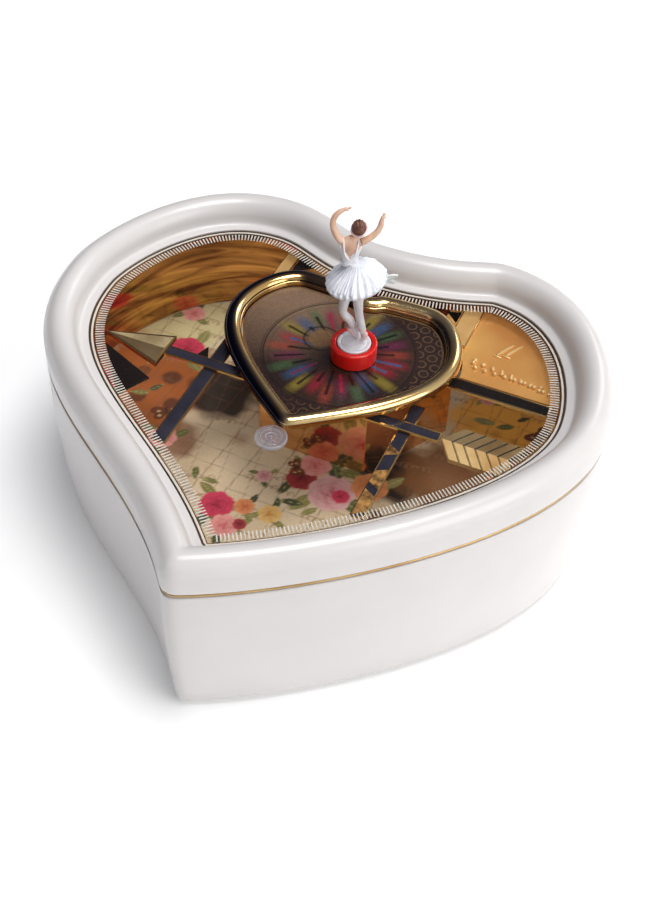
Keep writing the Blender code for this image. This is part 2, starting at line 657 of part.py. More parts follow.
def rim_section():
    """Half-round rim on a straight side, with the ledge that laps over the window."""
    middle = RIM_WIDTH / 2
    rise = RIM_TOP - RIM_SHOULDER
    lap_bottom = WINDOW_TOP + GAP
    section = [(0.0, LID_BOTTOM + 0.5 * MM)]
    for angle in np.linspace(math.pi, 0.0, 8):
        section.append((middle * (1 + math.cos(angle)), RIM_SHOULDER + rise * math.sin(angle)))
    ledge_top = lap_bottom + 0.6 * MM
    section += [(RIM_WIDTH + 0.5 * MM, ledge_top + 0.2 * MM), (LEDGE_WIDTH, ledge_top),
                (LEDGE_WIDTH, lap_bottom), (WINDOW_INSET - GAP, lap_bottom),
                (WINDOW_INSET - GAP, LID_BOTTOM), (0.5 * MM, LID_BOTTOM)]
    return section


def build_lid_frame(mats, case, lid):
    hang("lid_frame", swept_heart("lid_frame", case, rim_section()), mats["shell_white"], lid, smooth=True)


def build_window(mats, case, ring, lid):
    """Clear heart with a hole for the ring, and the round clear boss on it."""
    edge = heart_loop(case, WINDOW_INSET)
    hole = heart_loop(ring, RING_SKIRT_INSET - GAP, RING_POINTS)
    window = slab("window_panel", [edge, hole], WINDOW_BOTTOM, WINDOW_TOP)
    hang("window_panel", window, mats["clear"], lid)
    bottom = WINDOW_TOP + GAP
    profile = [(BOSS_R, bottom), (BOSS_R, bottom + 0.6 * MM), (BOSS_R - 0.5 * MM, bottom + 1.0 * MM)]
    boss = turned("clear_boss", profile, 24)
    boss.transform(Matrix.Translation((*BOSS_CENTRE, 0.0)))
    hang("clear_boss", boss, mats["clear"], lid, smooth=True)


def build_ring_and_stage(mats, ring, lid):
    """Ridged gold ring through the window, and the printed stage inside it."""
    base = WINDOW_TOP + GAP
    section = [(0.0, base), (0.5 * MM, base + 1.2 * MM), (1.4 * MM, RING_TOP - 0.5 * MM),
               (2.4 * MM, RING_TOP), (3.4 * MM, RING_TOP - 0.5 * MM), (RING_BAND, base + 0.6 * MM),
               (RING_BAND, WINDOW_BOTTOM), (RING_SKIRT_INSET, WINDOW_BOTTOM), (RING_SKIRT_INSET, base)]
    band = swept_heart("gold_ring", ring, section, RING_POINTS)
    hang("gold_ring", band, mats["gold"], lid, smooth=True)
    edge = heart_loop(ring, RING_BAND + GAP, RING_POINTS)
    stage = slab("stage_plate", [edge], STAGE_TOP - 1.1 * MM, STAGE_TOP)
    hang("stage_plate", stage, mats["stage_film"], lid)


def arrow_head_mesh():
    """A flat triangle whose upper face folds along the arrow."""
    tip, upper, lower = ((ARROW_TIP_X, ARROW_Y), (HEAD_BASE_X, ARROW_Y + HEAD_HALF),
                         (HEAD_BASE_X, ARROW_Y - HEAD_HALF))
    edge_top = LATTICE_BOTTOM + 0.8 * MM
    bm = bmesh.new()
    below = [bm.verts.new((*p, LATTICE_BOTTOM)) for p in (tip, lower, upper)]
    above = [bm.verts.new((*p, edge_top)) for p in (tip, lower, upper)]
    fold = bm.verts.new((HEAD_BASE_X, ARROW_Y, LATTICE_TOP))
    bm.faces.new(below)
    bm.faces.new((below[0], below[1], above[1], above[0]))
    bm.faces.new((below[2], below[0], above[0], above[2]))
    bm.faces.new((below[1], below[2], above[2], fold, above[1]))
    bm.faces.new((above[0], above[1], fold))
    bm.faces.new((above[0], fold, above[2]))
    return finish_mesh("arrow_head", bm)


def build_arrow(mats, lid):
    """Gold arrow under the window: folded head, flat shaft and swept fletching."""
    hang("arrow_head", arrow_head_mesh(), mats["gold"], lid)
    shaft = rectangle(HEAD_BASE_X + GAP, FLETCH_X - GAP, ARROW_Y - SHAFT_HALF, ARROW_Y + SHAFT_HALF)
    mesh = slab("arrow_shaft", [shaft], UPPER_BAR_BOTTOM, LATTICE_TOP)
    hang("arrow_shaft", mesh, mats["gold"], lid)
    end = FLETCH_X + FLETCH_LENGTH
    vane = [(FLETCH_X, ARROW_Y), (FLETCH_X + FLETCH_SWEEP, ARROW_Y - FLETCH_HALF),
            (end + FLETCH_SWEEP, ARROW_Y - FLETCH_HALF), (end, ARROW_Y),
            (end + FLETCH_SWEEP, ARROW_Y + FLETCH_HALF), (FLETCH_X + FLETCH_SWEEP, ARROW_Y + FLETCH_HALF)]
    mesh = slab("arrow_fletching", [vane], LATTICE_BOTTOM, LATTICE_TOP)
    hang("arrow_fletching", mesh, mats["gold"], lid)


def build_spokes(mats, lid):
    for name, (x0, x1, y0, y1, upper) in SPOKES.items():
        bottom = UPPER_BAR_BOTTOM if upper else LATTICE_BOTTOM
        bar = slab(name, [rectangle(x0 * MM, x1 * MM, y0 * MM, y1 * MM)], bottom, bottom + BAR_THICK)
        hang(name, bar, mats["gold"], lid)


def build_gold_field(mats, case, ring, lid):
    """Gold sheet that fills the window between the ring and its edge, above the right spoke."""
    outer = heart_loop(case, LEDGE_WIDTH + 0.5 * MM)
    inner = heart_loop(ring, -GAP, RING_POINTS)
    outer = [tuple(p) for p in outer if p[0] > FIELD_LEFT and p[1] > FIELD_BOTTOM]
    inner = [tuple(p) for p in inner if p[0] > FIELD_LEFT and p[1] > FIELD_BOTTOM]
    corner = [(outer[-1][0], FIELD_BOTTOM), (inner[-1][0], FIELD_BOTTOM)]
    sheet = slab("gold_field", [outer + corner + inner[::-1]], LATTICE_BOTTOM,
                 LATTICE_BOTTOM + BAR_THICK)
    hang("gold_field", sheet, mats["gold"], lid)


# ---------------------------------------------------------------- movement

def build_bed(mats):
    """Bedplate with bearing holes, the comb block on it and the screws that hold both."""
    holes = [circle(BARREL_AXIS, KEY_SHAFT_R + RACE), circle(STAGE_CENTRE, SHAFT_BORE_R)]
    holes += [circle(spot, BED_SCREW_R + GAP, 12) for spot in BED_SCREWS]
    bed = slab("bedplate", [grown(HOUSING_CORNERS, -HOUSING_WALL - 1.2 * MM)] + holes,
               DECK_TOP + GAP, BED_TOP)
    add_object("bedplate", bed, mats["brass"])
    block_holes = [circle(spot, COMB_SCREW_R + GAP, 12) for spot in COMB_SCREWS]
    outline = rectangle(DRUM_LEFT, DRUM_RIGHT, COMB_BACK_Y - 4.2 * MM, COMB_BACK_Y)
    block = slab("comb_block", [outline] + block_holes, BED_TOP + GAP, COMB_Z - GAP)
    add_object("comb_block", block, mats["brass"])
    for i, spot in enumerate(BED_SCREWS):
        build_screw(mats, f"bed_screw_{i + 1}", spot, DECK_BOTTOM + GAP, BED_TOP + GAP, BED_SCREW_R)
    for i, spot in enumerate(COMB_SCREWS):
        build_screw(mats, f"comb_screw_{i + 1}", spot, COMB_Z - 6.5 * MM, COMB_Z + COMB_THICK + GAP,
                    COMB_SCREW_R)


def build_screw(mats, name, spot, bottom, head_bottom, radius):
    rise = SCREW_HEAD_R * 0.6
    profile = [(radius, bottom), (radius, head_bottom), (SCREW_HEAD_R, head_bottom),
               (SCREW_HEAD_R, head_bottom + rise * 2 / 3), (SCREW_HEAD_R * 0.6, head_bottom + rise)]
    add_object(name, turned(name, profile, 16), mats["steel"], location=(*spot, 0.0), smooth=True)


def build_comb(mats):
    """Steel comb: one tooth for each note."""
    margin = 0.2 * MM
    left = DRUM_LEFT + margin
    width = DRUM_RIGHT - DRUM_LEFT - 2 * margin
    pitch = width / COMB_TEETH
    root_y = COMB_TIP_Y + COMB_TOOTH
    outline = [(left, COMB_BACK_Y)]
    for i in range(COMB_TEETH):
        x0 = left + i * pitch
        x1 = x0 + pitch - COMB_SLIT
        outline += [(x0, root_y), (x0, COMB_TIP_Y), (x1, COMB_TIP_Y), (x1, root_y)]
    outline.append((left + width - COMB_SLIT, COMB_BACK_Y))
    outline.pop(1)
    holes = [circle(spot, COMB_SCREW_R + GAP, 12) for spot in COMB_SCREWS]
    add_object("comb", slab("comb", [outline] + holes, COMB_Z, COMB_Z + COMB_THICK), mats["steel"])


def build_bearing_plates(mats):
    """Two gallows-shaped plates that carry the arbors behind and beside the barrel."""
    foot = BED_TOP + GAP
    profile = [(PLATE_LEG, foot), (PLATE_BACK, foot), (PLATE_BACK, PLATE_TOP), (PLATE_FRONT, PLATE_TOP),
               (PLATE_FRONT, PLATE_ARM_BOTTOM), (PLATE_LEG, PLATE_ARM_BOTTOM)]
    drum_hole = circle((DRUM_Y, DRUM_Z), BEARING_R, 24)
    wheel_hole = circle((WHEEL_Y, DRUM_Z), BEARING_R, 24)
    left = slab("bearing_plate_left", [profile, drum_hole], PLATE_LEFT, PLATE_LEFT + PLATE_THICK, axis="X")
    right = slab("bearing_plate_right", [profile, drum_hole, wheel_hole], PLATE_RIGHT,
                 PLATE_RIGHT + PLATE_THICK, axis="X")
    add_object("bearing_plate_left", left, mats["brass"])
    add_object("bearing_plate_right", right, mats["brass"])


def build_key(mats):
    """Butterfly key and the winding shaft above it, on the barrel's axis."""
    top = KEY_TOP / MM
    wing = [(2.0, top), (3.0, 10.0), (8.0, 11.6), (12.0, 9.6), (12.6, 6.6), (9.5, 3.9)]
    outline = [(-x, z) for x, z in wing] + [(0.0, 3.4)] + wing[::-1]
    mesh = slab("winding_key", [scaled(outline)], -KEY_HALF_THICK, KEY_HALF_THICK, axis="Y")
    add_object("winding_key", mesh, mats["brass"], location=(*BARREL_AXIS, 0.0))
    profile = [(KEY_SHAFT_R, KEY_TOP + GAP), (KEY_SHAFT_R, BED_TOP + 0.2 * MM)]
    add_object("winding_shaft", turned("winding_shaft", profile, 24), mats["steel"],
               location=(*BARREL_AXIS, 0.0), smooth=True)


def build_barrel(mats):
    """Spring barrel with crown teeth on top, and the spur gear under it."""
    teeth = gear_outline(BARREL_TEETH, BARREL_BEARING + math.pi)
    gear = slab("barrel_gear", [teeth], GEAR_BOTTOM, GEAR_BOTTOM + GEAR_THICK)
    add_object("barrel_gear", gear, mats["brass"], location=(*BARREL_AXIS, 0.0))
    tooth_root = CROWN_TOP - CROWN_TOOTH
    flange = tooth_root - CROWN_FLANGE
    bottom = GEAR_BOTTOM + GEAR_THICK + GAP
    profile = [(BARREL_R, bottom), (BARREL_R, flange), (CROWN_R, flange),
               (CROWN_R, tooth_root), (CROWN_R - CROWN_WIDTH, tooth_root)]
    mesh = turned("spring_barrel", profile, 2 * BARREL_TEETH)
    raise_teeth(mesh, tooth_root, CROWN_TOP - tooth_root)
    add_object("spring_barrel", mesh, mats["brass"], location=(*BARREL_AXIS, 0.0))


def raise_teeth(mesh, level, height):
    """Lifts every other segment of the flat ring at a level into a crown tooth."""
    bm = bmesh.new()
    bm.from_mesh(mesh)
    ring = [f for f in bm.faces if len(f.verts) == 4 and all(abs(v.co.z - level) < 1e-6 for v in f.verts)]
    ring.sort(key=lambda f: math.atan2(f.calc_center_median().y, f.calc_center_median().x))
    for face in ring[::2]:
        lifted = bmesh.ops.extrude_discrete_faces(bm, faces=[face])["faces"]
        bmesh.ops.translate(bm, verts=lifted[0].verts, vec=(0.0, 0.0, height))
    bmesh.ops.recalc_face_normals(bm, faces=bm.faces)
    bm.to_mesh(mesh)
    bm.free()


def build_drum(mats):
    """Pinned drum on its arbor, with the crown's pinion and the governor's gear."""
    half = (DRUM_RIGHT - DRUM_LEFT) / 2
    middle = (DRUM_RIGHT + DRUM_LEFT) / 2
    overhang = 0.2 * MM
    left_end = PLATE_LEFT - overhang - middle
    right_end = PLATE_RIGHT + PLATE_THICK + overhang - middle
    profile = [(ARBOR_R, left_end), (ARBOR_R, -half)]
    profile += [(DRUM_R, -half + 2 * half * i / DRUM_RINGS) for i in range(DRUM_RINGS + 1)]
    profile += [(ARBOR_R, half), (ARBOR_R, right_end)]
    mesh = turned("pinned_drum", profile, 18, axis="X")
    raise_pins(mesh)
    axis_point = (middle, DRUM_Y, DRUM_Z)
    add_object("pinned_drum", mesh, mats["brass"], location=axis_point)
    for name, teeth, x in (("drum_pinion", DRUM_PINION_TEETH, DRUM_PINION_X),
                           ("drum_gear", DRUM_GEAR_TEETH, SIDE_GEAR_X)):
        bore = circle((0.0, 0.0), ARBOR_R + GAP, 12)
        mesh = slab(name, [gear_outline(teeth), bore], -GEAR_HALF, GEAR_HALF, axis="X")
        add_object(name, mesh, mats["gear_white"], location=(x, DRUM_Y, DRUM_Z))


def raise_pins(mesh):
    """Lifts a scattered, repeatable choice of the drum's cells into pins."""
    bm = bmesh.new()
    bm.from_mesh(mesh)
    cells = [f for f in bm.faces if abs(f.normal.x) < 0.1
             and f.calc_center_median().yz.length > DRUM_R * 0.9]
    cells.sort(key=lambda f: (round(f.calc_center_median().x, 6),
                              math.atan2(f.calc_center_median().z, f.calc_center_median().y)))
    for i, face in enumerate(cells):
        if (i * i + 5 * i) % 17 != 7:
            continue
        outward = face.normal.copy()
        bmesh.ops.inset_individual(bm, faces=[face], thickness=DRUM_PIN / 3)
        lifted = bmesh.ops.extrude_discrete_faces(bm, faces=[face])["faces"]
        bmesh.ops.translate(bm, verts=lifted[0].verts, vec=outward * DRUM_PIN)
    bmesh.ops.recalc_face_normals(bm, faces=bm.faces)
    bm.to_mesh(mesh)
    bm.free()


def build_governor(mats):
    """Wheel that the drum gear turns, and the worm with its air-brake wings."""
    rim = MODULE * WHEEL_TEETH / 2
    arbor = [(WHEEL_ARBOR_R, -5.6 * MM), (WHEEL_ARBOR_R, -WHEEL_HALF), (rim, -WHEEL_HALF),
             (rim, WHEEL_HALF), (WHEEL_ARBOR_R, WHEEL_HALF), (WHEEL_ARBOR_R, 2 * WHEEL_HALF)]
    wheel = turned("governor_wheel", arbor, 24, axis="X")
    add_object("governor_wheel", wheel, mats["gear_white"], location=(WHEEL_X, WHEEL_Y, DRUM_Z))
    bore = circle((0.0, 0.0), WHEEL_ARBOR_R + 0.2 * MM, 12)
    teeth = gear_outline(WHEEL_PINION_TEETH, math.pi / WHEEL_PINION_TEETH, height=1.1)
    pinion = slab("wheel_pinion", [teeth, bore], -GEAR_HALF, GEAR_HALF, axis="X")
    add_object("wheel_pinion", pinion, mats["steel"], location=(SIDE_GEAR_X, WHEEL_Y, DRUM_Z))

    profile = [(FAN_PIVOT_R, FAN_FOOT), (FAN_CORE_R, FAN_FOOT + 0.6 * MM)]
    for i in range(FAN_TURNS):
        height = FAN_WORM + i * FAN_PITCH
        profile += [(FAN_CORE_R, height), (WORM_R, height + FAN_PITCH * 0.3),
                    (WORM_R, height + FAN_PITCH * 0.5), (FAN_CORE_R, height + FAN_PITCH * 0.8)]
    profile += [(FAN_PIVOT_R, FAN_WINGS[0] - 0.4 * MM), (FAN_PIVOT_R, FAN_TOP)]
    worm = add_object("governor_fan", turned("governor_fan", profile, 10), mats["steel"],
                      location=(WHEEL_X, WORM_Y, 0.0), smooth=True)
    half, thin = FAN_WING_HALF
    wing = slab("fan_wings", [rectangle(-half, half, *FAN_WINGS)], -thin, thin, axis="Y")
    wing.transform(Matrix.Translation((WHEEL_X, WORM_Y, 0.0)))
    boolean(worm, helper("fan_wings", wing), "UNION")


def build_output(mats):
    """Gear and shaft that carry the magnet round under the stage."""
    centre = (*STAGE_CENTRE, 0.0)
    bore = circle((0.0, 0.0), SHAFT_R + GAP, 16)
    teeth = gear_outline(OUTPUT_TEETH, BARREL_BEARING + math.pi / OUTPUT_TEETH)
    gear = slab("output_gear", [teeth, bore], GEAR_BOTTOM, GEAR_BOTTOM + GEAR_THICK)
    add_object("output_gear", gear, mats["gear_white"], location=centre)
    shaft = [(SHAFT_R, DECK_TOP + GAP), (SHAFT_R, ARM_BOTTOM - GAP)]
    add_object("output_shaft", turned("output_shaft", shaft, 24), mats["steel"], location=centre,
               smooth=True)
    reach = CUP_CENTRE[0] - STAGE_CENTRE[0]
    along, across = MAGNET_ARM_HALF
    arm_outline = [(reach * 0.5 + along * math.cos(a), across * math.sin(a))
                   for a in np.linspace(0.0, 2 * math.pi, 24, endpoint=False)]
    arm = slab("magnet_arm", [arm_outline], ARM_BOTTOM, ARM_BOTTOM + MAGNET_ARM_THICK)
    add_object("magnet_arm", arm, mats["gear_white"], location=centre)
    bottom = ARM_BOTTOM + MAGNET_ARM_THICK + GAP
    radius, height = DRIVE_MAGNET
    magnet = turned("drive_magnet", [(radius, bottom), (radius, bottom + height)], 24)
    magnet.transform(Matrix.Translation((reach, 0.0, 0.0)))
    add_object("drive_magnet", magnet, mats["steel"], location=centre, smooth=True)


# ---------------------------------------------------------------- dancer

def build_cup(mats, orbit):
    """Red magnet cup that glides on the stage; its pivot is the middle of the stage."""
    bottom = GAP
    top = bottom + CUP_H
    round_off = 0.4 * MM
    profile = [(CUP_R - GAP, bottom), (CUP_R, bottom + GAP), (CUP_R, top - round_off),
               (CUP_R - round_off, top), (CUP_RECESS_R, top), (CUP_RECESS_R, top - CUP_RECESS_DEPTH)]
    mesh = turned("magnet_cup", profile, 32)
    off_centre = (CUP_CENTRE[0] - STAGE_CENTRE[0], CUP_CENTRE[1] - STAGE_CENTRE[1], 0.0)
    mesh.transform(Matrix.Translation(off_centre))
    add_object("magnet_cup", mesh, mats["magnet_red"], parent=orbit, smooth=True)


def build_dancer(mats, dancer):
    """The dancer, drawn about the cup's axis with heights above the stage."""
    def piece(name, mesh, mat):
        add_object(name, mesh, mats[mat], parent=dancer, smooth=True)

    disc_bottom = GAP + CUP_H - CUP_RECESS_DEPTH + GAP
    disc = [(CUP_RECESS_R - GAP, disc_bottom), (CUP_RECESS_R - GAP, DISC_TOP)]
    piece("cup_disc", turned("cup_disc", disc, 32), "dancer_white")

    right_leg = tube("right_leg", scaled(RIGHT_LEG), [r * MM for r in LEG_RADII])
    left_leg = tube("dancer_legs", scaled(LEFT_LEG), [r * MM for r in LEG_RADII])
    legs = add_object("dancer_legs", left_leg, mats["dancer_white"], parent=dancer, smooth=True)
    other = helper("right_leg", right_leg)
    other.parent = dancer
    boolean(legs, other, "UNION")

    tutu = turned("dancer_tutu", scaled(TUTU), 32)
    tutu.transform(Matrix.Translation((TUTU_X, 0.0, 0.0)))
    piece("dancer_tutu", tutu, "dancer_white")
    piece("dancer_torso", tube("dancer_torso", scaled(TORSO), [r * MM for r in TORSO_RADII], 14),
          "dancer_white")
    head = turned("dancer_head", scaled(HEAD), 16)
    head.transform(Matrix.Translation((HEAD_X, 0.0, 0.0)))
    piece("dancer_head", head, "skin")
    piece("dancer_arm_left", tube("dancer_arm_left", scaled(ARM_LEFT), [r * MM for r in ARM_RADII]), "skin")
    piece("dancer_arm_right", tube("dancer_arm_right", scaled(ARM_RIGHT), [r * MM for r in ARM_RADII]),
          "skin")


def scaled(points):
    return [tuple(value * MM for value in point) for point in points]


# ---------------------------------------------------------------- assembly

def build():
    clear_scene()
    mats = make_materials()
    case = case_outline()
    ring = ring_outline()

    build_shell(mats, case)
    build_trim_and_liner(mats, case)
    build_deck_and_card(mats, case)
    build_underside(mats, case)
    build_stop_slider(mats)
    build_housing(mats)

    lid = add_empty("lid_axis", (0.0, HINGE_Y, HINGE_Z))
    build_hinge(mats, lid)
    build_lid_frame(mats, case, lid)
    build_window(mats, case, ring, lid)
    build_ring_and_stage(mats, ring, lid)
    build_arrow(mats, lid)
    build_spokes(mats, lid)
    build_gold_field(mats, case, ring, lid)

    build_bed(mats)
    build_comb(mats)
    build_bearing_plates(mats)
    build_key(mats)
    build_barrel(mats)
    build_drum(mats)
    build_governor(mats)
    build_output(mats)

    to_stage = (STAGE_CENTRE[0], STAGE_CENTRE[1] - HINGE_Y, STAGE_TOP - HINGE_Z)
    orbit = add_empty("orbit_axis", to_stage, parent=lid)
    to_cup = (CUP_CENTRE[0] - STAGE_CENTRE[0], CUP_CENTRE[1] - STAGE_CENTRE[1], 0.0)
    dancer = add_empty("twirl_axis", to_cup, parent=orbit, turn=DANCER_TURN)
    build_cup(mats, orbit)
    build_dancer(mats, dancer)


build()
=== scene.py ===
"""Looks of the ballerina jewellery box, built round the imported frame.

A satin white heart with a windowed lid: printed window, gold ring, printed stage, gold arrow
and bars under the window, floral card and gold foil inside, and a small dancer on a red cup.
Lengths are in millimetres unless a name says otherwise, and MM turns them into metres.
"""
import json
from math import atan2, cos, exp, hypot, pi, radians, sin, sqrt

import bmesh
import bpy
import numpy as np
from mathutils import Matrix, Vector


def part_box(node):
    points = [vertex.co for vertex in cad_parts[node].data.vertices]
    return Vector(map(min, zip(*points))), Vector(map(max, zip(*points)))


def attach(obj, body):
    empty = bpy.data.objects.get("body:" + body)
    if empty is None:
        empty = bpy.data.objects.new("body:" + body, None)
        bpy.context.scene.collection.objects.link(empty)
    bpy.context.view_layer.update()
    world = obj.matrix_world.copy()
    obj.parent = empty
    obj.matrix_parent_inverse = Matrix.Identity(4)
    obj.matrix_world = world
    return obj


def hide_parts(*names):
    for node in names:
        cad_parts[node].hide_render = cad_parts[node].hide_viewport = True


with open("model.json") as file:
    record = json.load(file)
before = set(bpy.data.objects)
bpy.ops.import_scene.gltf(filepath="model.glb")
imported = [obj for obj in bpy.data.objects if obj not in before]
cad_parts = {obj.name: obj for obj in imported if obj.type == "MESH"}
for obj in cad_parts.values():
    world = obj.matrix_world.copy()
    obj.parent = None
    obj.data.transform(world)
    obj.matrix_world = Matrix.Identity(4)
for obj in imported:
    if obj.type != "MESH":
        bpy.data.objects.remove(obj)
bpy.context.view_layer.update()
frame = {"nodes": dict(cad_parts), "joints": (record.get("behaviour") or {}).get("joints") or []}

MM = 0.001
CLEAR = 0.05                        # gap that keeps a printed layer off the face below it

# ---------------------------------------------------------------- driving dimensions

# Heart outline at the seam: notch, tip, half width, and each half's lobe top, widest height,
# direction out of the tip and Bezier handle lengths.
NOTCH = (0.0, 65.96)
TIP = (-1.7, -79.98)
HALF_WIDTH = 84.95
TIP_ROUND = 4.0
RIGHT = {"lobe": (37.2, 73.5), "side": 16.4, "tip_angle": 1.12,
         "handles": (23.6, 6.9, 34.1, 19.7, 38.5, 33.5)}
LEFT = {"lobe": (-35.8, 74.8), "side": 19.3, "tip_angle": 0.66,
        "handles": (14.4, 15.1, 36.3, 12.8, 52.3, 50.7)}
CASE_POINTS = 288

# Gold ring round the stage: a smaller, symmetric heart.
RING_X = 2.1
RING_NOTCH = (0.0, 45.2)
RING_TIP = (0.0, -17.2)
RING_HALF_WIDTH = 36.3
RING_HALF = {"lobe": (19.6, 48.3), "side": 26.2, "tip_angle": 0.93,
             "handles": (6.0, 22.5, 9.2, 10.0, 17.2, 21.5)}
RING_POINTS = 200
RING_BAND = 5.2
RING_SKIRT = 2.9

# Insets and heights that the frame's own nodes settle.
WALL = 3.2
BASE_DRAFT = 1.9
RIM_WIDTH = 9.8
LEDGE_WIDTH = 12.8
WINDOW_INSET = 11.3
LINER_INSET = 5.6


def low_high(node):
    """The lowest and highest corner of a frame node, in millimetres."""
    low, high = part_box(node)
    return low / MM, high / MM


BASE_BOTTOM, BASE_TOP = (v.z for v in low_high("base_shell"))
LID_BOTTOM, RIM_TOP = (v.z for v in low_high("lid_frame"))
WINDOW_BOTTOM, WINDOW_TOP = (v.z for v in low_high("window_panel"))
LINER_BOTTOM, LINER_TOP = (v.z for v in low_high("wall_liner"))
CARD_BOTTOM, CARD_TOP = (v.z for v in low_high("floor_card"))
STAGE_BOTTOM, STAGE_TOP = (v.z for v in low_high("stage_plate"))
RING_BOTTOM, RING_TOP = (v.z for v in low_high("gold_ring"))
CUP_LOW, CUP_HIGH = low_high("magnet_cup")
CUP_X = (CUP_LOW.x + CUP_HIGH.x) / 2
CUP_Y = (CUP_LOW.y + CUP_HIGH.y) / 2
CUP_R = (CUP_HIGH.x - CUP_LOW.x) / 2
STAGE_X, STAGE_Y = (round(v / MM, 2) for v in
                    next(j for j in frame["joints"] if j["name"] == "cup_orbit")["pos_m"][:2])
DANCER_TURN = radians(21.5)    # the way the dancer faces, turned from +Y
RIM_SHOULDER = 56.5                 # height where the rim's side turns into its half round
CARD_SPACING = 0.5                  # gap between the points of ink on the card
STAGE_SPACING = 0.24                # and on the stage
PRINT_MARGIN = 0.7                  # gap from a printed sheet to the wall or band round it
HUB_X, HUB_Y = -3.5, 23.3           # printed hub on the stage


# ---------------------------------------------------------------- colours and materials

def paint(red, green, blue):
    """A display colour, 0 to 255, as the linear colour that a shader takes."""
    return tuple(((v / 255 + 0.055) / 1.055) ** 2.4 if v > 10 else v / 255 / 12.92
                 for v in (red, green, blue))


def principled(name, **settings):
    """A new material whose shader takes constant values on its own sockets."""
    mat = bpy.data.materials.new(name)
    mat.use_nodes = True
    shader = mat.node_tree.nodes["Principled BSDF"]
    for label, value in settings.items():
        shader.inputs[label.replace("_", " ")].default_value = value
    return mat, mat.node_tree, shader


def grain(tree, scale, detail=4.0, stretch=(1.0, 1.0, 1.0), distortion=0.0):
    """Noise in object space; the scale counts features to the metre."""
    place = tree.nodes.new("ShaderNodeTexCoord")
    mapping = tree.nodes.new("ShaderNodeMapping")
    mapping.inputs["Scale"].default_value = stretch
    noise = tree.nodes.new("ShaderNodeTexNoise")
    noise.inputs["Scale"].default_value = scale
    noise.inputs["Detail"].default_value = detail
    noise.inputs["Distortion"].default_value = distortion
    tree.links.new(place.outputs["Object"], mapping.inputs["Vector"])
    tree.links.new(mapping.outputs["Vector"], noise.inputs["Vector"])
    return noise.outputs["Fac"]


def ramp(tree, value, stops):
    """Colours by value: stops are (position, colour)."""
    node = tree.nodes.new("ShaderNodeValToRGB")
    node.color_ramp.elements[0].position = stops[0][0]
    node.color_ramp.elements[0].color = (*stops[0][1], 1.0)
    node.color_ramp.elements[1].position = stops[-1][0]
    node.color_ramp.elements[1].color = (*stops[-1][1], 1.0)
    for position, colour in stops[1:-1]:
        node.color_ramp.elements.new(position).color = (*colour, 1.0)
    tree.links.new(value, node.inputs["Fac"])
    return node.outputs["Color"]


def spread(tree, value, low, high):
    node = tree.nodes.new("ShaderNodeMapRange")
    node.inputs["From Min"].default_value = 0.3
    node.inputs["From Max"].default_value = 0.7
    node.inputs["To Min"].default_value = low
    node.inputs["To Max"].default_value = high
    tree.links.new(value, node.inputs["Value"])
    return node.outputs["Result"]


def relief(tree, shader, heights):
    """Bump from (height, depth in millimetres) pairs, each laid on the one before."""
    normal = None
    for height, depth in heights:
        node = tree.nodes.new("ShaderNodeBump")
        node.inputs["Strength"].default_value = 1.0
        node.inputs["Distance"].default_value = depth * MM
        tree.links.new(height, node.inputs["Height"])
        if normal is not None:
            tree.links.new(normal, node.inputs["Normal"])
        normal = node.outputs["Normal"]
    tree.links.new(normal, shader.inputs["Normal"])


def finish(name, dark, light, roughness, grain_scale, bump, stretch=(1.0, 1.0, 1.0),
           patch_scale=45.0, distortion=0.0, **settings):
    """A surface with broad colour patches, grain in its roughness and fine relief.

    roughness is (low, high), and bump is (features to the metre, depth in millimetres) or None.
    """
    mat, tree, shader = principled(name, **settings)
    patches = grain(tree, patch_scale, 3.0, stretch, distortion)
    colour = ramp(tree, patches, [(0.3, paint(*dark)), (0.7, paint(*light))])
    tree.links.new(colour, shader.inputs["Base Color"])
    fine = grain(tree, grain_scale, 5.0, stretch)
    tree.links.new(spread(tree, fine, *roughness), shader.inputs["Roughness"])
    if bump:
        relief(tree, shader, [(grain(tree, bump[0], 3.0, stretch), bump[1])])
    return mat


def multiply(tree, one, two):
    mix = tree.nodes.new("ShaderNodeMix")
    mix.data_type = "RGBA"
    mix.blend_type = "MULTIPLY"
    mix.inputs["Factor"].default_value = 1.0
    tree.links.new(one, mix.inputs["A"])
    tree.links.new(two, mix.inputs["B"])
    return mix.outputs["Result"]


def printed(name, roughness, fibre, depth, **settings):
    """A printed sheet: ink held in the mesh's colours, over paper or plastic grain; the ink also feeds the
    emission, so a sheet given an emission strength glows with painted light.
    """
    mat, tree, shader = principled(name, **settings)
    ink = tree.nodes.new("ShaderNodeVertexColor")
    ink.layer_name = "ink"
    mottle = ramp(tree, grain(tree, fibre, 4.0), [(0.3, (0.86, 0.86, 0.86)), (0.7, (1.0, 1.0, 1.0))])
    colour = multiply(tree, ink.outputs["Color"], mottle)
    tree.links.new(colour, shader.inputs["Base Color"])
    # the ink colour also drives the emission: painted light wherever the material is given an emission
    # strength
    tree.links.new(colour, shader.inputs["Emission Color"])
    tree.links.new(spread(tree, grain(tree, fibre * 2, 3.0), *roughness), shader.inputs["Roughness"])
    relief(tree, shader, [(grain(tree, fibre * 1.5, 4.0), depth)])
    return mat


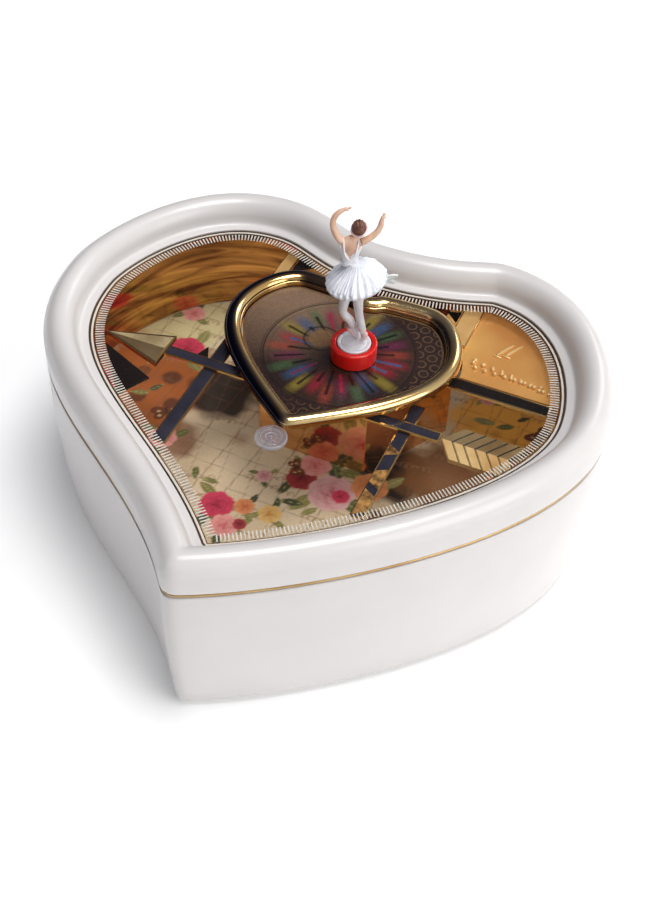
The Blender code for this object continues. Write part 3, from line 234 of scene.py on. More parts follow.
def painted_shade_left(mat, stops, slope=0.0):
    """Paints shade into a surface's colour where it faces the left of the box: stops run from left to
    right.

    slope adds to that the place along X, as so much for each metre.
    """
    tree = mat.node_tree
    shader = tree.nodes["Principled BSDF"]
    bright = shader.inputs["Base Color"].links[0].from_socket
    place = tree.nodes.new("ShaderNodeTexCoord")
    total = None
    for output, factor, start in (("Normal", 0.5, 0.5), ("Object", slope, 0.0)):
        split = tree.nodes.new("ShaderNodeSeparateXYZ")
        scaled = tree.nodes.new("ShaderNodeMath")
        scaled.operation = "MULTIPLY_ADD"
        scaled.inputs[1].default_value = factor
        scaled.inputs[2].default_value = start
        tree.links.new(place.outputs[output], split.inputs["Vector"])
        tree.links.new(split.outputs["X"], scaled.inputs[0])
        if total is not None:
            tree.links.new(total, scaled.inputs[2])
        total = scaled.outputs["Value"]
    tree.links.new(multiply(tree, bright, ramp(tree, total, stops)), shader.inputs["Base Color"])


def make_materials():
    """Every finish, by the name that the builders below use for it."""
    metal = dict(Metallic=1.0)
    mats = {
        "lacquer": finish("lacquer", (210, 206, 204), (215, 211, 209), (0.3, 0.33), 18, None,
            Coat_Weight=0.3, Coat_Roughness=0.2),
        "gold": finish("polished_gold", (222, 178, 104), (240, 204, 138), (0.12, 0.24), 2600,
            (1100, 0.004), patch_scale=90, **metal),
        "ring_gold": finish("ring_gold", (226, 184, 116), (244, 214, 156), (0.1, 0.18), 3000,
            (400, 0.002), patch_scale=60, **metal),
        "trim_gold": finish("trim_gold", (176, 134, 80), (226, 196, 142), (0.3, 0.45), 3000,
            (2500, 0.006), **metal),
        "foil": finish("gold_foil", (112, 62, 24), (238, 180, 104), (0.05, 0.14), 500, (60, 0.04),
            stretch=(0.5, 0.5, 4.0), patch_scale=60, distortion=1.4, **metal),
        "mirror": finish("gold_mirror", (214, 156, 98), (244, 196, 140), (0.03, 0.07), 700, (40, 0.008),
            stretch=(0.5, 0.5, 2.5), patch_scale=40, distortion=0.5, **metal),
        "sheet_gold": finish("sheet_gold", (222, 150, 80), (255, 200, 114), (0.2, 0.26), 60, None,
            patch_scale=30, Metallic=0.25),
        "inlay": finish("dark_inlay", (22, 22, 36), (56, 54, 68), (0.1, 0.22), 1500, (600, 0.004),
            patch_scale=70, Specular_IOR_Level=0.6),
        "black_glass": finish("black_glass", (10, 7, 7), (24, 15, 13), (0.15, 0.28), 1500, (600, 0.003),
            Specular_IOR_Level=0.3),
        "glass": finish("window_clear", (52, 46, 40), (70, 64, 58), (0.03, 0.07), 300, (120, 0.002),
            Alpha=0.06, IOR=1.49),
        "boss": finish("clear_boss", (110, 114, 126), (150, 152, 162), (0.06, 0.2), 300, None, Alpha=0.17,
            IOR=1.49),
        "boss_line": finish("boss_line", (168, 174, 188), (206, 210, 220), (0.1, 0.2), 300, None,
            Alpha=0.32, IOR=1.49),
        "white_ink": finish("white_ink", (186, 180, 168), (222, 217, 206), (0.4, 0.6), 4000,
            (5000, 0.004), patch_scale=600),
        "cream_ink": finish("cream_ink", (206, 196, 184), (226, 216, 202), (0.3, 0.45), 4000,
            (4000, 0.004), patch_scale=60),
        # painted shade: near black to dark brown, for the groove round the window, the shadow line along
        # the ticks and the grooves of the arrow's vane
        "painted_groove_shade": finish("painted_groove_shade", (20, 18, 17), (78, 60, 44), (0.3, 0.5), 2500, (3000, 0.005),
            patch_scale=26),
        # the card glows at emission strength 0.2: painted light that brightens the floor inside the box
        "card": printed("floral_card", (0.5, 0.7), 1800, 0.012, Emission_Strength=0.2),
        "stage": printed("stage_film", (0.2, 0.3), 700, 0.001, Coat_Weight=0.3, Coat_Roughness=0.12),
        "board": finish("grey_board", (196, 190, 180), (222, 217, 208), (0.6, 0.85), 1500, (1900, 0.03),
            patch_scale=260),
        "felt": finish("black_plastic", (16, 16, 18), (36, 36, 39), (0.35, 0.55), 2200, (2600, 0.02),
            patch_scale=150),
        "rubber": finish("foot_rubber", (24, 24, 24), (48, 47, 46), (0.7, 0.9), 2500, (1800, 0.05),
            patch_scale=300),
        "steel": finish("ground_steel", (150, 150, 154), (196, 196, 200), (0.2, 0.38), 1500,
            (2200, 0.006), stretch=(6.0, 1.0, 1.0), patch_scale=120, **metal),
        "brass": finish("rolled_brass", (168, 130, 66), (212, 174, 104), (0.22, 0.42), 1200,
            (1800, 0.008), stretch=(1.0, 7.0, 1.0), patch_scale=90, **metal),
        "nylon": finish("moulded_nylon", (216, 212, 198), (234, 231, 220), (0.38, 0.52), 1800,
            (2600, 0.01), patch_scale=200, Subsurface_Weight=0.05),
        "red": finish("cup_red", (222, 20, 12), (236, 36, 24), (0.22, 0.28), 200, None, patch_scale=90,
            Coat_Weight=0.4, Coat_Roughness=0.12),
        "tulle": finish("tutu_tulle", (222, 226, 238), (246, 247, 252), (0.55, 0.75), 2400, (3200, 0.03),
            patch_scale=420, Sheen_Weight=0.3),
        "satin": finish("bodice_satin", (226, 226, 234), (250, 248, 248), (0.3, 0.45), 2200, (2600, 0.02),
            stretch=(2.0, 2.0, 0.6), patch_scale=420, Sheen_Weight=0.2),
        "wing": finish("bow_tulle", (226, 232, 232), (246, 248, 244), (0.4, 0.6), 2400, (3000, 0.02),
            patch_scale=500, Alpha=0.6),
        "skin": finish("painted_skin", (214, 166, 140), (238, 198, 172), (0.42, 0.55), 2200,
            (2600, 0.006), patch_scale=330, Subsurface_Weight=0.08),
        "face": printed("painted_face", (0.4, 0.5), 2600, 0.004, Subsurface_Weight=0.05),
        "hair": finish("painted_hair", (66, 34, 26), (122, 74, 52), (0.3, 0.5), 1800, (2200, 0.08),
            stretch=(1.0, 1.0, 0.22), patch_scale=900),
        "stage_back": finish("stage_back", (84, 62, 46), (112, 86, 64), (0.25, 0.4), 900, (700, 0.003)),
        "head_gold": finish("head_gold", (176, 152, 108), (232, 208, 160), (0.16, 0.28), 200, None,
            patch_scale=120, Metallic=0.35),
        "worn_gold": finish("worn_gold", (60, 34, 22), (238, 176, 98), (0.2, 0.35), 400, None,
            patch_scale=420, Metallic=0.3),
        "vane_gold": finish("vane_gold", (228, 176, 106), (250, 212, 146), (0.28, 0.42), 400, None,
            patch_scale=110, Metallic=0.3),
        "shoe": finish("shoe_satin", (226, 188, 190), (246, 214, 214), (0.3, 0.45), 2200, (2400, 0.01),
            patch_scale=400),
    }
    # painted shade and painted dark reflection: the ring's gold turns navy on its left flank and darker
    # towards the box's left
    painted_shade_left(mats["ring_gold"], [(0.12, (0.03, 0.05, 0.2)), (0.34, (0.05, 0.07, 0.26)),
                                   (0.46, (0.4, 0.36, 0.4)), (0.54, (1.0, 1.0, 1.0))], 6.0)
    return mats


# ---------------------------------------------------------------- outlines

def bezier(p0, p1, p2, p3, count=160):
    t = np.linspace(0.0, 1.0, count)[:, None]
    p0, p1, p2, p3 = (np.array(p) for p in (p0, p1, p2, p3))
    return (1 - t) ** 3 * p0 + 3 * t * (1 - t) ** 2 * p1 + 3 * t ** 2 * (1 - t) * p2 + t ** 3 * p3


def heart_half(notch, tip, side_x, half, sign):
    """Points from the notch over one lobe and down its side to just before the tip."""
    h = half["handles"]
    lobe = np.array(half["lobe"])
    side = np.array((side_x, half["side"]))
    leave = np.array((sign * sin(half["tip_angle"]), cos(half["tip_angle"])))
    notch = np.array(notch)
    end = np.array(tip) + leave * TIP_ROUND
    across = np.array((sign, 0.0))
    down = np.array((0.0, -1.0))
    over = bezier(notch, notch + across * h[0], lobe - across * h[1], lobe)
    shoulder = bezier(lobe, lobe + across * h[2], side - down * h[3], side)
    flank = bezier(side, side + down * h[4], end + leave * (h[5] - TIP_ROUND), end)
    return np.vstack([over, shoulder[1:], flank[1:]])


def closed_heart(right, left, tip):
    t = np.linspace(0.0, 1.0, 24)[1:-1, None]
    start, corner, end = right[-1], np.array(tip), left[-1]
    tip_arc = (1 - t) ** 2 * start + 2 * t * (1 - t) * corner + t ** 2 * end
    return np.vstack([right, tip_arc, left[:0:-1]])


def case_outline():
    return closed_heart(heart_half(NOTCH, TIP, HALF_WIDTH, RIGHT, 1.0),
                        heart_half(NOTCH, TIP, -HALF_WIDTH, LEFT, -1.0), TIP)


def ring_outline():
    right = heart_half(RING_NOTCH, RING_TIP, RING_HALF_WIDTH, RING_HALF, 1.0)
    return closed_heart(right, right * (-1.0, 1.0), RING_TIP) + (RING_X, 0.0)


def inset_outline(points, distance):
    """Moves a closed outline inward and drops the points that cross over at a corner."""
    if distance == 0.0:
        return points
    tangent = np.roll(points, -1, axis=0) - np.roll(points, 1, axis=0)
    tangent /= np.linalg.norm(tangent, axis=1)[:, None]
    moved = points + np.column_stack([tangent[:, 1], -tangent[:, 0]]) * distance
    reach = np.linalg.norm(moved[:, None, :] - points[None, :, :], axis=2).min(axis=1)
    return moved[reach > abs(distance) - 0.03]


def walk(points, count):
    """Points spaced evenly along an open line, both ends kept."""
    steps = np.concatenate([[0.0], np.cumsum(np.linalg.norm(np.diff(points, axis=0), axis=1))])
    at = np.linspace(0.0, steps[-1], count + 1)
    return np.column_stack([np.interp(at, steps, points[:, axis]) for axis in range(points.shape[1])])


def heart_loop(outline, distance, count):
    """An inset heart with a fixed number of points, its first at the notch, clockwise."""
    points = inset_outline(outline, distance)
    start = int(np.argmin(np.linalg.norm(points - outline[0] + (0.0, distance), axis=1)))
    points = np.roll(points, -start, axis=0)
    tip = int(np.argmin(points[:, 1]))
    right = walk(points[:tip + 1], count // 2)
    left = walk(np.vstack([points[tip:], points[:1]]), count // 2)
    return np.vstack([right[:-1], left[:-1]])


def unit(values):
    """Values held between 0 and 1."""
    return np.clip(values, 0, 1)


def arc(centre, radius, start, end, count):
    """Points on a circle arc, its angles in degrees; the radius may be (across, up)."""
    across, up = radius if isinstance(radius, tuple) else (radius, radius)
    turn = np.radians(np.linspace(start, end, count))
    return [(centre[0] + across * cos(a), centre[1] + up * sin(a)) for a in turn]


def smooth_line(points, count):
    """A Catmull-Rom curve through rows of numbers, evenly stepped from row to row."""
    points = np.array(points, float)
    padded = np.vstack([2 * points[0] - points[1], points, 2 * points[-1] - points[-2]])
    at = np.linspace(0, len(points) - 1, count)
    i = np.minimum(at.astype(int), len(points) - 2)
    t = (at - i)[:, None]
    a, b, c, d = (padded[i + k] for k in range(4))
    return 0.5 * (2 * b + (c - a) * t + (2 * a - 5 * b + 4 * c - d) * t ** 2
                  + (3 * b - a - 3 * c + d) * t ** 3)


def inside(points, outline):
    """Which points lie inside a closed outline."""
    result = np.zeros(len(points), bool)
    x, y = points[:, 0], points[:, 1]
    for (x0, y0), (x1, y1) in zip(outline, np.roll(outline, -1, axis=0)):
        if y0 != y1:
            crosses = (y0 > y) != (y1 > y)
            result ^= crosses & (x < (x1 - x0) * (y - y0) / (y1 - y0) + x0)
    return result


# ---------------------------------------------------------------- pieces

def add_object(name, data):
    obj = bpy.data.objects.new(name, data)
    bpy.context.scene.collection.objects.link(obj)
    return obj


def piece(name, bm, mats, body, nodes=(), smooth_angle=35.0):
    """Turns a drawing in millimetres into a piece that rides on a body."""
    bmesh.ops.recalc_face_normals(bm, faces=bm.faces)
    mesh = bpy.data.meshes.new(name)
    bm.to_mesh(mesh)
    bm.free()
    mesh.transform(Matrix.Scale(MM, 4))
    for mat in mats if isinstance(mats, list) else [mats]:
        mesh.materials.append(mat)
    mesh.shade_smooth()
    mesh.set_sharp_from_angle(angle=radians(smooth_angle))
    obj = add_object(name, mesh)
    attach(obj, body)
    if nodes:
        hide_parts(*nodes)
    return obj


def bridge(bm, one, two):
    for i in range(len(one)):
        j = (i + 1) % len(one)
        bm.faces.new((one[i], one[j], two[j], two[i]))


def stack(bm, rings):
    """Walls from each ring of points to the next, closed at both ends."""
    for low, high in zip(rings, rings[1:]):
        bridge(bm, low, high)
    bm.faces.new(rings[0])
    bm.faces.new(rings[-1])


def close_sheet(bm, under, over, material=lambda i, j: 0):
    """Faces over two matching grids of points and round their edge."""
    rows, columns = len(under), len(under[0])
    for grid in (under, over):
        for i in range(rows - 1):
            for j in range(columns - 1):
                face = bm.faces.new((grid[i][j], grid[i + 1][j], grid[i + 1][j + 1], grid[i][j + 1]))
                face.material_index = material(i, j)
    rim = [(i, 0) for i in range(rows)] + [(rows - 1, j) for j in range(1, columns)]
    rim += [(i, columns - 1) for i in range(rows - 2, -1, -1)]
    rim += [(0, j) for j in range(columns - 2, 0, -1)]
    bridge(bm, [under[i][j] for i, j in rim], [over[i][j] for i, j in rim])


def sweep(bm, outline, section, count):
    """Carries a closed section of (inset, height) pairs round a heart."""
    loops = []
    shapes = {}
    for inset, height in section:
        key = round(inset, 3)
        if key not in shapes:
            shapes[key] = heart_loop(outline, inset, count)
        loops.append([bm.verts.new((x, y, height)) for x, y in shapes[key]])
    for one, two in zip(loops, loops[1:] + loops[:1]):
        bridge(bm, one, two)


def swept_piece(name, outline, section, count, mat, body, nodes=()):
    """A piece whose one section runs round a heart."""
    bm = bmesh.new()
    sweep(bm, outline, section, count)
    return piece(name, bm, mat, body, nodes)


def plate(bm, outlines, bottom, top):
    """A plate between two heights; the first outline is its edge, the others are holes."""
    edges = []
    for outline in outlines:
        verts = [bm.verts.new((x, y, bottom)) for x, y in outline]
        edges += [bm.edges.new(pair) for pair in zip(verts, verts[1:] + verts[:1])]
    filled = bmesh.ops.triangle_fill(bm, edges=edges, use_beauty=True)["geom"]
    faces = [g for g in filled if isinstance(g, bmesh.types.BMFace)]
    raised = bmesh.ops.extrude_face_region(bm, geom=faces)["geom"]
    verts = [g for g in raised if isinstance(g, bmesh.types.BMVert)]
    bmesh.ops.translate(bm, verts=verts, vec=(0.0, 0.0, top - bottom))


def lathe(bm, profile, centre=(0.0, 0.0), segments=96, ripple=None):
    """A turned body from (radius, height) pairs; ripple(angle, i) may shift a ring's points."""
    rings = []
    for i, (radius, height) in enumerate(profile):
        ring = []
        for k in range(segments):
            a = 2 * pi * k / segments
            out, up = ripple(a, i) if ripple else (0.0, 0.0)
            ring.append(bm.verts.new((centre[0] + (radius + out) * cos(a),
                                      centre[1] + (radius + out) * sin(a), height + up)))
        rings.append(ring)
    stack(bm, rings)


def limb(bm, points, radii, count=48, sides=20, squash=1.0):
    """A rounded limb along a smooth line, its radius changing along the way."""
    rows = smooth_line([(*p, r) for p, r in zip(points, radii)], count)
    path, radii = rows[:, :3], rows[:, 3]
    length = np.concatenate([[0.0], np.cumsum(np.linalg.norm(np.diff(path, axis=0), axis=1))])
    rings = []
    for i in range(count):
        ahead = Vector(path[min(i + 1, count - 1)] - path[max(i - 1, 0)]).normalized()
        across = Vector((1.0, 0.0, 0.0)) if abs(ahead.x) < 0.9 else Vector((0.0, 0.0, 1.0))
        deep = ahead.cross(across).normalized()
        across = deep.cross(ahead)
        to_end = min(length[i], length[-1] - length[i]) / radii[i]
        radius = radii[i] * sqrt(max(1 - max(1 - to_end, 0.0) ** 2, 0.02))
        rings.append([bm.verts.new(Vector(path[i]) + across * radius * cos(a)
                                   + deep * squash * radius * sin(a))
                      for a in np.linspace(0, 2 * pi, sides, endpoint=False)])
    stack(bm, rings)


# ---------------------------------------------------------------- printed sheets

class Print:
    """A flat sheet of coloured points on which motifs are laid one over another."""

    def __init__(self, outline, spacing, ground):
        low, high = outline.min(axis=0), outline.max(axis=0)
        self.xs = np.arange(low[0], high[0], spacing)
        self.ys = np.arange(low[1], high[1], spacing)
        grid_x, grid_y = np.meshgrid(self.xs, self.ys)
        self.points = np.column_stack([grid_x.ravel(), grid_y.ravel()])
        self.kept = inside(self.points, outline)
        self.x, self.y = self.points[:, 0], self.points[:, 1]
        self.colour = np.tile(np.array(ground, float), (len(self.points), 1))

    def lay(self, cover, colour, near=slice(None)):
        """Lays a colour, or one colour for each point, by how much of it covers each point."""
        self.colour[near] += cover[:, None] * (np.array(colour) - self.colour[near])

    def around(self, cx, cy, reach):
        return np.nonzero((abs(self.x - cx) < reach) & (abs(self.y - cy) < reach))[0]

    def oval(self, near, cx, cy, along, across, turn):
        """0 at the middle of an oval and 1 on its edge, with the place across it."""
        dx, dy = self.x[near] - cx, self.y[near] - cy
        u = (dx * cos(turn) + dy * sin(turn)) / along
        v = (dy * cos(turn) - dx * sin(turn)) / across
        return np.hypot(u, v), u, v

    def stroke(self, points, width, colour, strength=1.0):
        """A soft line through points."""
        points = np.array(points, float)
        centre = points.mean(axis=0)
        near = self.around(*centre, np.abs(points - centre).max() + width * 2)
        best = np.full(len(near), 1e9)
        here = self.points[near]
        for a, b in zip(points, points[1:]):
            along = b - a
            t = unit(((here - a) @ along) / max(along @ along, 1e-9))
            best = np.minimum(best, np.linalg.norm(here - a - t[:, None] * along, axis=1))
        self.lay(unit(1.4 - best / width) * strength, colour, near)

    def sheet(self, name, height, mat, body):
        """The sheet as a thin mesh whose points hold the ink."""
        columns = len(self.xs)
        index = np.full(len(self.points), -1)
        rows = []
        for r in range(len(self.ys) - 1):
            i = r * columns + np.arange(columns - 1)
            corners = np.column_stack([i, i + 1, i + columns + 1, i + columns])
            rows.append(corners[self.kept[corners].all(axis=1)])
        quads = np.vstack(rows)
        used = np.unique(quads)
        index[used] = np.arange(len(used))
        verts = np.column_stack([self.points[used], np.full(len(used), height)]) * MM
        mesh = bpy.data.meshes.new(name)
        mesh.from_pydata(verts.tolist(), [], index[quads].tolist())
        ink = mesh.color_attributes.new("ink", "FLOAT_COLOR", "POINT")
        values = np.column_stack([unit(self.colour[used]), np.ones(len(used))])
        ink.data.foreach_set("color", values.astype(np.float32).ravel())
        mesh.materials.append(mat)
        obj = add_object(name, mesh)
        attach(obj, body)
        return obj


def lay_rose(card, cx, cy, size, dark, light, turn=0.0):
    """Rings of overlapping petals, each light at its edge and dark at its foot."""
    dark, light = np.array(paint(*dark)), np.array(paint(*light))
    rings = ((0.66, 7, 0.44), (0.46, 6, 0.40), (0.27, 5, 0.32), (0.12, 3, 0.24), (0.0, 1, 0.14))
    near = card.around(cx, cy, size * 1.2)
    for ring, (reach, count, width) in enumerate(rings):
        for i in range(count):
            angle = turn + 2 * pi * (i + 0.5 * (ring % 2)) / count
            px = cx + size * reach * cos(angle)
            py = cy + size * reach * sin(angle)
            d, u, _ = card.oval(near, px, py, size * width, size * width * 1.15, angle)
            shade = unit(0.45 + 0.55 * u - 0.1 * ring)[:, None]
            tone = dark + (light - dark) * shade
            tone = tone * (1 - 0.35 * unit((d - 0.86) * 7))[:, None]
            card.lay(unit((1 - d) * 9), tone, near)


def lay_leaf(card, cx, cy, length, turn, colour):
    """A pointed leaf with a light midrib and side veins."""
    near = card.around(cx, cy, length)
    _, u, v = card.oval(near, cx, cy, length / 2, length / 5, turn)
    rim = unit(1 - u ** 2) - abs(v)
    veins = 0.78 + 0.22 * np.abs(np.sin(9 * (u + 0.5 * abs(v))))
    base = np.array(paint(*colour))
    card.lay(unit(rim * 6), base * veins[:, None], near)
    card.lay(unit(rim * 6) * unit(1 - abs(v) * 8) * 0.7, paint(196, 190, 120), near)


def lay_butterfly(card, cx, cy, size, turn, colour):
    for side in (-1, 1):
        for ahead, reach, width in ((0.45, 0.62, 0.42), (-0.4, 0.46, 0.32)):
            angle = turn + side * (pi / 2 - ahead)
            px, py = cx + size * 0.55 * cos(angle), cy + size * 0.55 * sin(angle)
            near = card.around(px, py, size)
            d, _, _ = card.oval(near, px, py, size * reach, size * width, angle)
            tone = np.array(paint(*colour)) * (0.55 + 0.7 * unit(1 - d))[:, None]
            card.lay(unit((1 - d) * 8), tone, near)
            spot, _, _ = card.oval(near, px, py, size * 0.12, size * 0.12, 0)
            card.lay(unit((1 - spot) * 5) * 0.8, paint(226, 200, 150), near)
    ends = [(cx + s * size * 0.45 * cos(turn), cy + s * size * 0.45 * sin(turn)) for s in (-1, 1)]
    card.stroke(ends, size * 0.07, paint(50, 34, 26))


def lay_scribble(card, x, y, length, turn, rng):
    """A line of loops in the manner of old handwriting, with no letters in it."""
    t = np.linspace(0, 1, 60)
    loops = length * 0.55
    along = t * length + 0.7 * np.sin(2 * pi * loops * t)
    up = (0.75 + 0.35 * np.sin(2 * pi * 3.1 * t + rng.random() * 6)) * np.cos(2 * pi * loops * t)
    line = np.column_stack([x + along * cos(turn) - up * sin(turn),
                            y + along * sin(turn) + up * cos(turn)])
    card.stroke(line, 0.22, paint(150, 112, 84), 0.6)


def floor_print(mats, case):
    """Cream card with roses, leaves, butterflies, ruled lines and loops of old script, with painted light
    and shade laid over it.
    """
    edge = heart_loop(case, LINER_INSET + PRINT_MARGIN, CASE_POINTS)
    card = Print(edge, CARD_SPACING, paint(226, 206, 172))
    rng = np.random.default_rng(7)
    tone = 0.5 + 0.5 * np.sin(card.x * 0.09 + 1.3 * np.sin(card.y * 0.07)) * np.cos(card.y * 0.08)
    card.lay(tone * 0.5, paint(206, 172, 126))
    # Patches of colour over the card, part the print's own tone and part painted light and shade: the
    # near-black and brown patches are painted shade under the ring and near the walls, and the pale patch
    # at (52, 48) is a painted pool of light on the floor beneath the gold sheet.
    light_and_shade_washes = [(-60.0, 18.0, 22.0, (166, 88, 30), 1.0), (-57.0, 2.0, 15.0, (172, 94, 38), 1.0),
              (-36.0, 21.0, 11.5, (32, 18, 12), 0.95), (-41.0, -3.0, 9.0, (130, 76, 48), 0.75),
              (-62.0, 48.0, 16.0, (208, 196, 132), 0.6), (27.0, 11.0, 12.0, (24, 14, 11), 1.0),
              (40.0, 16.0, 14.0, (124, 78, 34), 0.95), (52.0, 48.0, 20.0, (250, 178, 66), 0.95),
              (60.0, 22.0, 12.0, (140, 92, 48), 0.7), (-14.0, 60.0, 14.0, (176, 126, 70), 0.6),
              (-54.0, 21.0, 3.4, (74, 36, 18), 0.85), (-60.0, 9.0, 3.0, (84, 40, 18), 0.8),
              (-48.0, 10.0, 3.2, (70, 34, 18), 0.8), (-64.0, 20.0, 2.6, (90, 50, 20), 0.7)]
    for x, y, reach, colour, strength in light_and_shade_washes:
        away = np.hypot(card.x - x, card.y - y) / reach
        away += 0.12 * np.sin(card.x * 0.5 + 0.6 * np.sin(card.y * 0.9)) * np.cos(card.y * 0.43)
        card.lay(unit((1.08 - away) * 3.2) * strength, paint(*colour))
    for x in np.arange(-80, 84, 9.5):
        card.stroke([(x, -78), (x + 16, 76)], 0.24, paint(118, 78, 56), 0.5)
        card.stroke([(x + 4, -78), (x - 22, 76)], 0.2, paint(140, 92, 66), 0.35)
    for y in np.arange(-70, 74, 6.5):
        card.stroke([(-84, y), (84, y - 8)], 0.2, paint(130, 90, 64), 0.4)
    for _ in range(90):
        x, y, size = rng.uniform(-76, 76), rng.uniform(-60, 66), rng.uniform(1.0, 3.4)
        spot = unit(1.4 - np.hypot(card.x - x, card.y - y) / size)
        card.lay(spot * rng.uniform(0.15, 0.45), paint(140, 84, 48))
    for _ in range(64):
        lay_scribble(card, rng.uniform(-74, 60), rng.uniform(-52, 66), rng.uniform(9, 20),
                     rng.uniform(-0.2, 0.35), rng)

    crimson = ((150, 20, 48), (226, 66, 96))
    salmon = ((206, 96, 96), (240, 172, 160))
    pink = ((190, 96, 104), (236, 190, 184))
    orange = ((196, 90, 44), (234, 160, 104))
    yellow = ((206, 140, 60), (240, 202, 128))
    wine = ((96, 20, 30), (186, 60, 62))
    roses = [(2.0, -1.5, 4.6, wine), (-16.5, -22.0, 5.0, crimson), (-11.0, -28.5, 4.2, salmon),
             (-7.0, -26.0, 2.0, wine),
             (-8.7, -19.2, 3.0, orange), (-0.6, -18.8, 3.4, yellow), (12.5, -3.6, 6.8, pink),
             (15.6, -3.6, 2.6, crimson), (3.6, 5.2, 4.6, salmon), (22.0, 3.5, 5.4, orange),
             (-8.7, -5.6, 2.4, pink), (-56.0, 35.0, 5.6, crimson), (-62.0, 52.0, 3.6, salmon),
             (42.0, 55.0, 2.4, salmon), (57.0, 26.0, 5.6, orange), (-64.0, 30.0, 3.0, orange),
             (-44.0, -4.0, 4.2, salmon), (34.0, -20.0, 5.0, pink), (50.0, 4.0, 5.6, crimson),
             (14.0, -40.0, 5.4, wine), (-8.0, -48.0, 5.2, pink), (0.0, -62.0, 4.2, crimson),
             (-40.0, 58.0, 5.2, orange), (16.0, 62.0, 4.6, pink), (70.0, 14.0, 4.4, pink),
             (-72.0, 12.0, 4.2, wine), (30.0, -34.0, 3.6, yellow), (-28.0, -34.0, 4.4, orange)]
    greens = [(104, 108, 56), (132, 126, 70), (74, 80, 52), (150, 142, 84)]
    for i, (x, y, size, _) in enumerate(roses):
        for k in range(3):
            angle = 2.4 * i + 2.1 * k
            lay_leaf(card, x + size * 1.35 * cos(angle), y + size * 1.35 * sin(angle),
                     size * 1.7, angle + 0.3, greens[(i + k) % 4])
    leaves = [(-28.0, -13.0, 6.0, 1.9), (-22.5, -14.2, 6.0, 0.1), (3.2, -11.8, 7.6, 0.2),
              (9.4, -13.0, 6.4, 0.9), (3.2, -4.2, 5.4, -0.4), (13.4, 5.4, 6.0, 0.2), (55.0, 51.0, 5.0, 0.8),
              (44.0, 45.0, 8.0, 0.1), (51.0, 45.5, 6.5, 0.5), (-60.0, 10.5, 6.5, 0.3),
              (-56.5, 14.5, 5.5, 1.0)]
    for i, (x, y, length, turn) in enumerate(leaves):
        lay_leaf(card, x, y, length, turn, greens[i % 4])
    for i, (x, y, size, (dark, light)) in enumerate(roses):
        lay_rose(card, x, y, size, dark, light, 1.7 * i)
    for x, y, size, turn in ((-1.5, 1.5, 3.4, 0.7), (-48.0, 6.0, 4.6, 2.2), (30.0, -8.0, 4.2, 1.2),
                             (-36.0, 66.0, 4.4, 0.4), (62.0, 46.0, 4.4, 2.6), (-24.0, -52.0, 4.2, 1.0)):
        lay_butterfly(card, x, y, size, turn, (120, 62, 30))
    card.sheet("floral_print", CARD_TOP + CLEAR, mats["card"], "base")


def stage_print(mats, ring):
    """Brown film with rays of soft colour about a hub, three fine circles and lace outside."""
    edge = heart_loop(ring, RING_BAND + PRINT_MARGIN, RING_POINTS)
    film = Print(edge, STAGE_SPACING, paint(40, 25, 19))
    dx, dy = film.x - STAGE_X, film.y - STAGE_Y
    radius, angle = np.hypot(dx, dy), np.arctan2(dy, dx)
    wander = 0.5 + 0.5 * np.sin(film.x * 0.21 + np.sin(film.y * 0.17)) * np.cos(film.y * 0.13)
    film.lay(wander * 0.5, paint(68, 45, 33))
    pale = unit(1.3 - np.hypot(film.x + 20.0, film.y - 40.0) / 26.0)
    film.lay(pale * 0.8, paint(146, 118, 94))

    circle = 23.4
    lace = (radius > circle) * (0.12 + 0.88 * unit((film.x + 2.0 - 0.35 * film.y) / 10.0))
    cell = 4.2
    for shift in ((0.0, 0.0), (cell / 2, cell * 0.866)):
        lx = (film.x - shift[0]) % cell - cell / 2
        ly = (film.y - shift[1]) % (cell * 1.732) - cell * 0.866
        hoop = np.hypot(lx, ly)
        for reach, width in ((1.9, 0.3), (0.85, 0.28)):
            film.lay(lace * unit(1.3 - abs(hoop - reach) / width) * 0.8, paint(34, 22, 16))
        film.lay(lace * unit(1.2 - abs(hoop - 1.38) / 0.3) * 0.36, paint(140, 104, 74))

    inks = [(150, 30, 46), (146, 128, 44), (44, 84, 120), (64, 92, 58), (108, 36, 70), (150, 60, 44)]
    rays = 25
    for i in range(rays):
        centre = 2 * pi * (i + 0.5) / rays
        off = (angle - centre + pi) % (2 * pi) - pi
        side = abs(off) * radius
        reach = 16.2 + 2.2 * sin(3.1 * i)
        wash = unit(1.5 - side / 1.6) * unit(1.4 - abs(radius - reach) / 4.2)
        film.lay(wash * 0.6, paint(*inks[(5 * i) % 6]))
        start, end = 8.6 + 1.2 * sin(1.9 * i), 17.0 + 2.6 * sin(2.3 * i + 1)
        width = 0.34 + 0.3 * (radius - start) / (end - start)
        line = unit(1.3 - side / width) * unit((radius - start) * 2) \
            * unit((end - radius) * 1.5)
        film.lay(line * 0.92, paint(*((10, 6, 6) if i % 4 else inks[(5 * i + 2) % 6])))
    for reach, width, strength in ((22.4, 0.26, 0.9), (23.1, 0.16, 0.7), (20.8, 0.14, 0.4)):
        film.lay(unit(1.3 - abs(radius - reach) / width) * strength, paint(22, 14, 12))
    hub = np.hypot(film.x - HUB_X, film.y - HUB_Y)
    film.lay(unit(1.3 - abs(hub - 5.2) / 0.34) * 0.85, paint(30, 22, 14))
    film.lay(unit(1.3 - abs(hub - 4.3) / 0.15) * 0.5, paint(120, 96, 54))
    film.lay(unit((4.1 - hub) * 2) * 0.6, paint(146, 110, 70))
    film.sheet("stage_print", STAGE_TOP + CLEAR, mats["stage"], "lid")


# ---------------------------------------------------------------- case

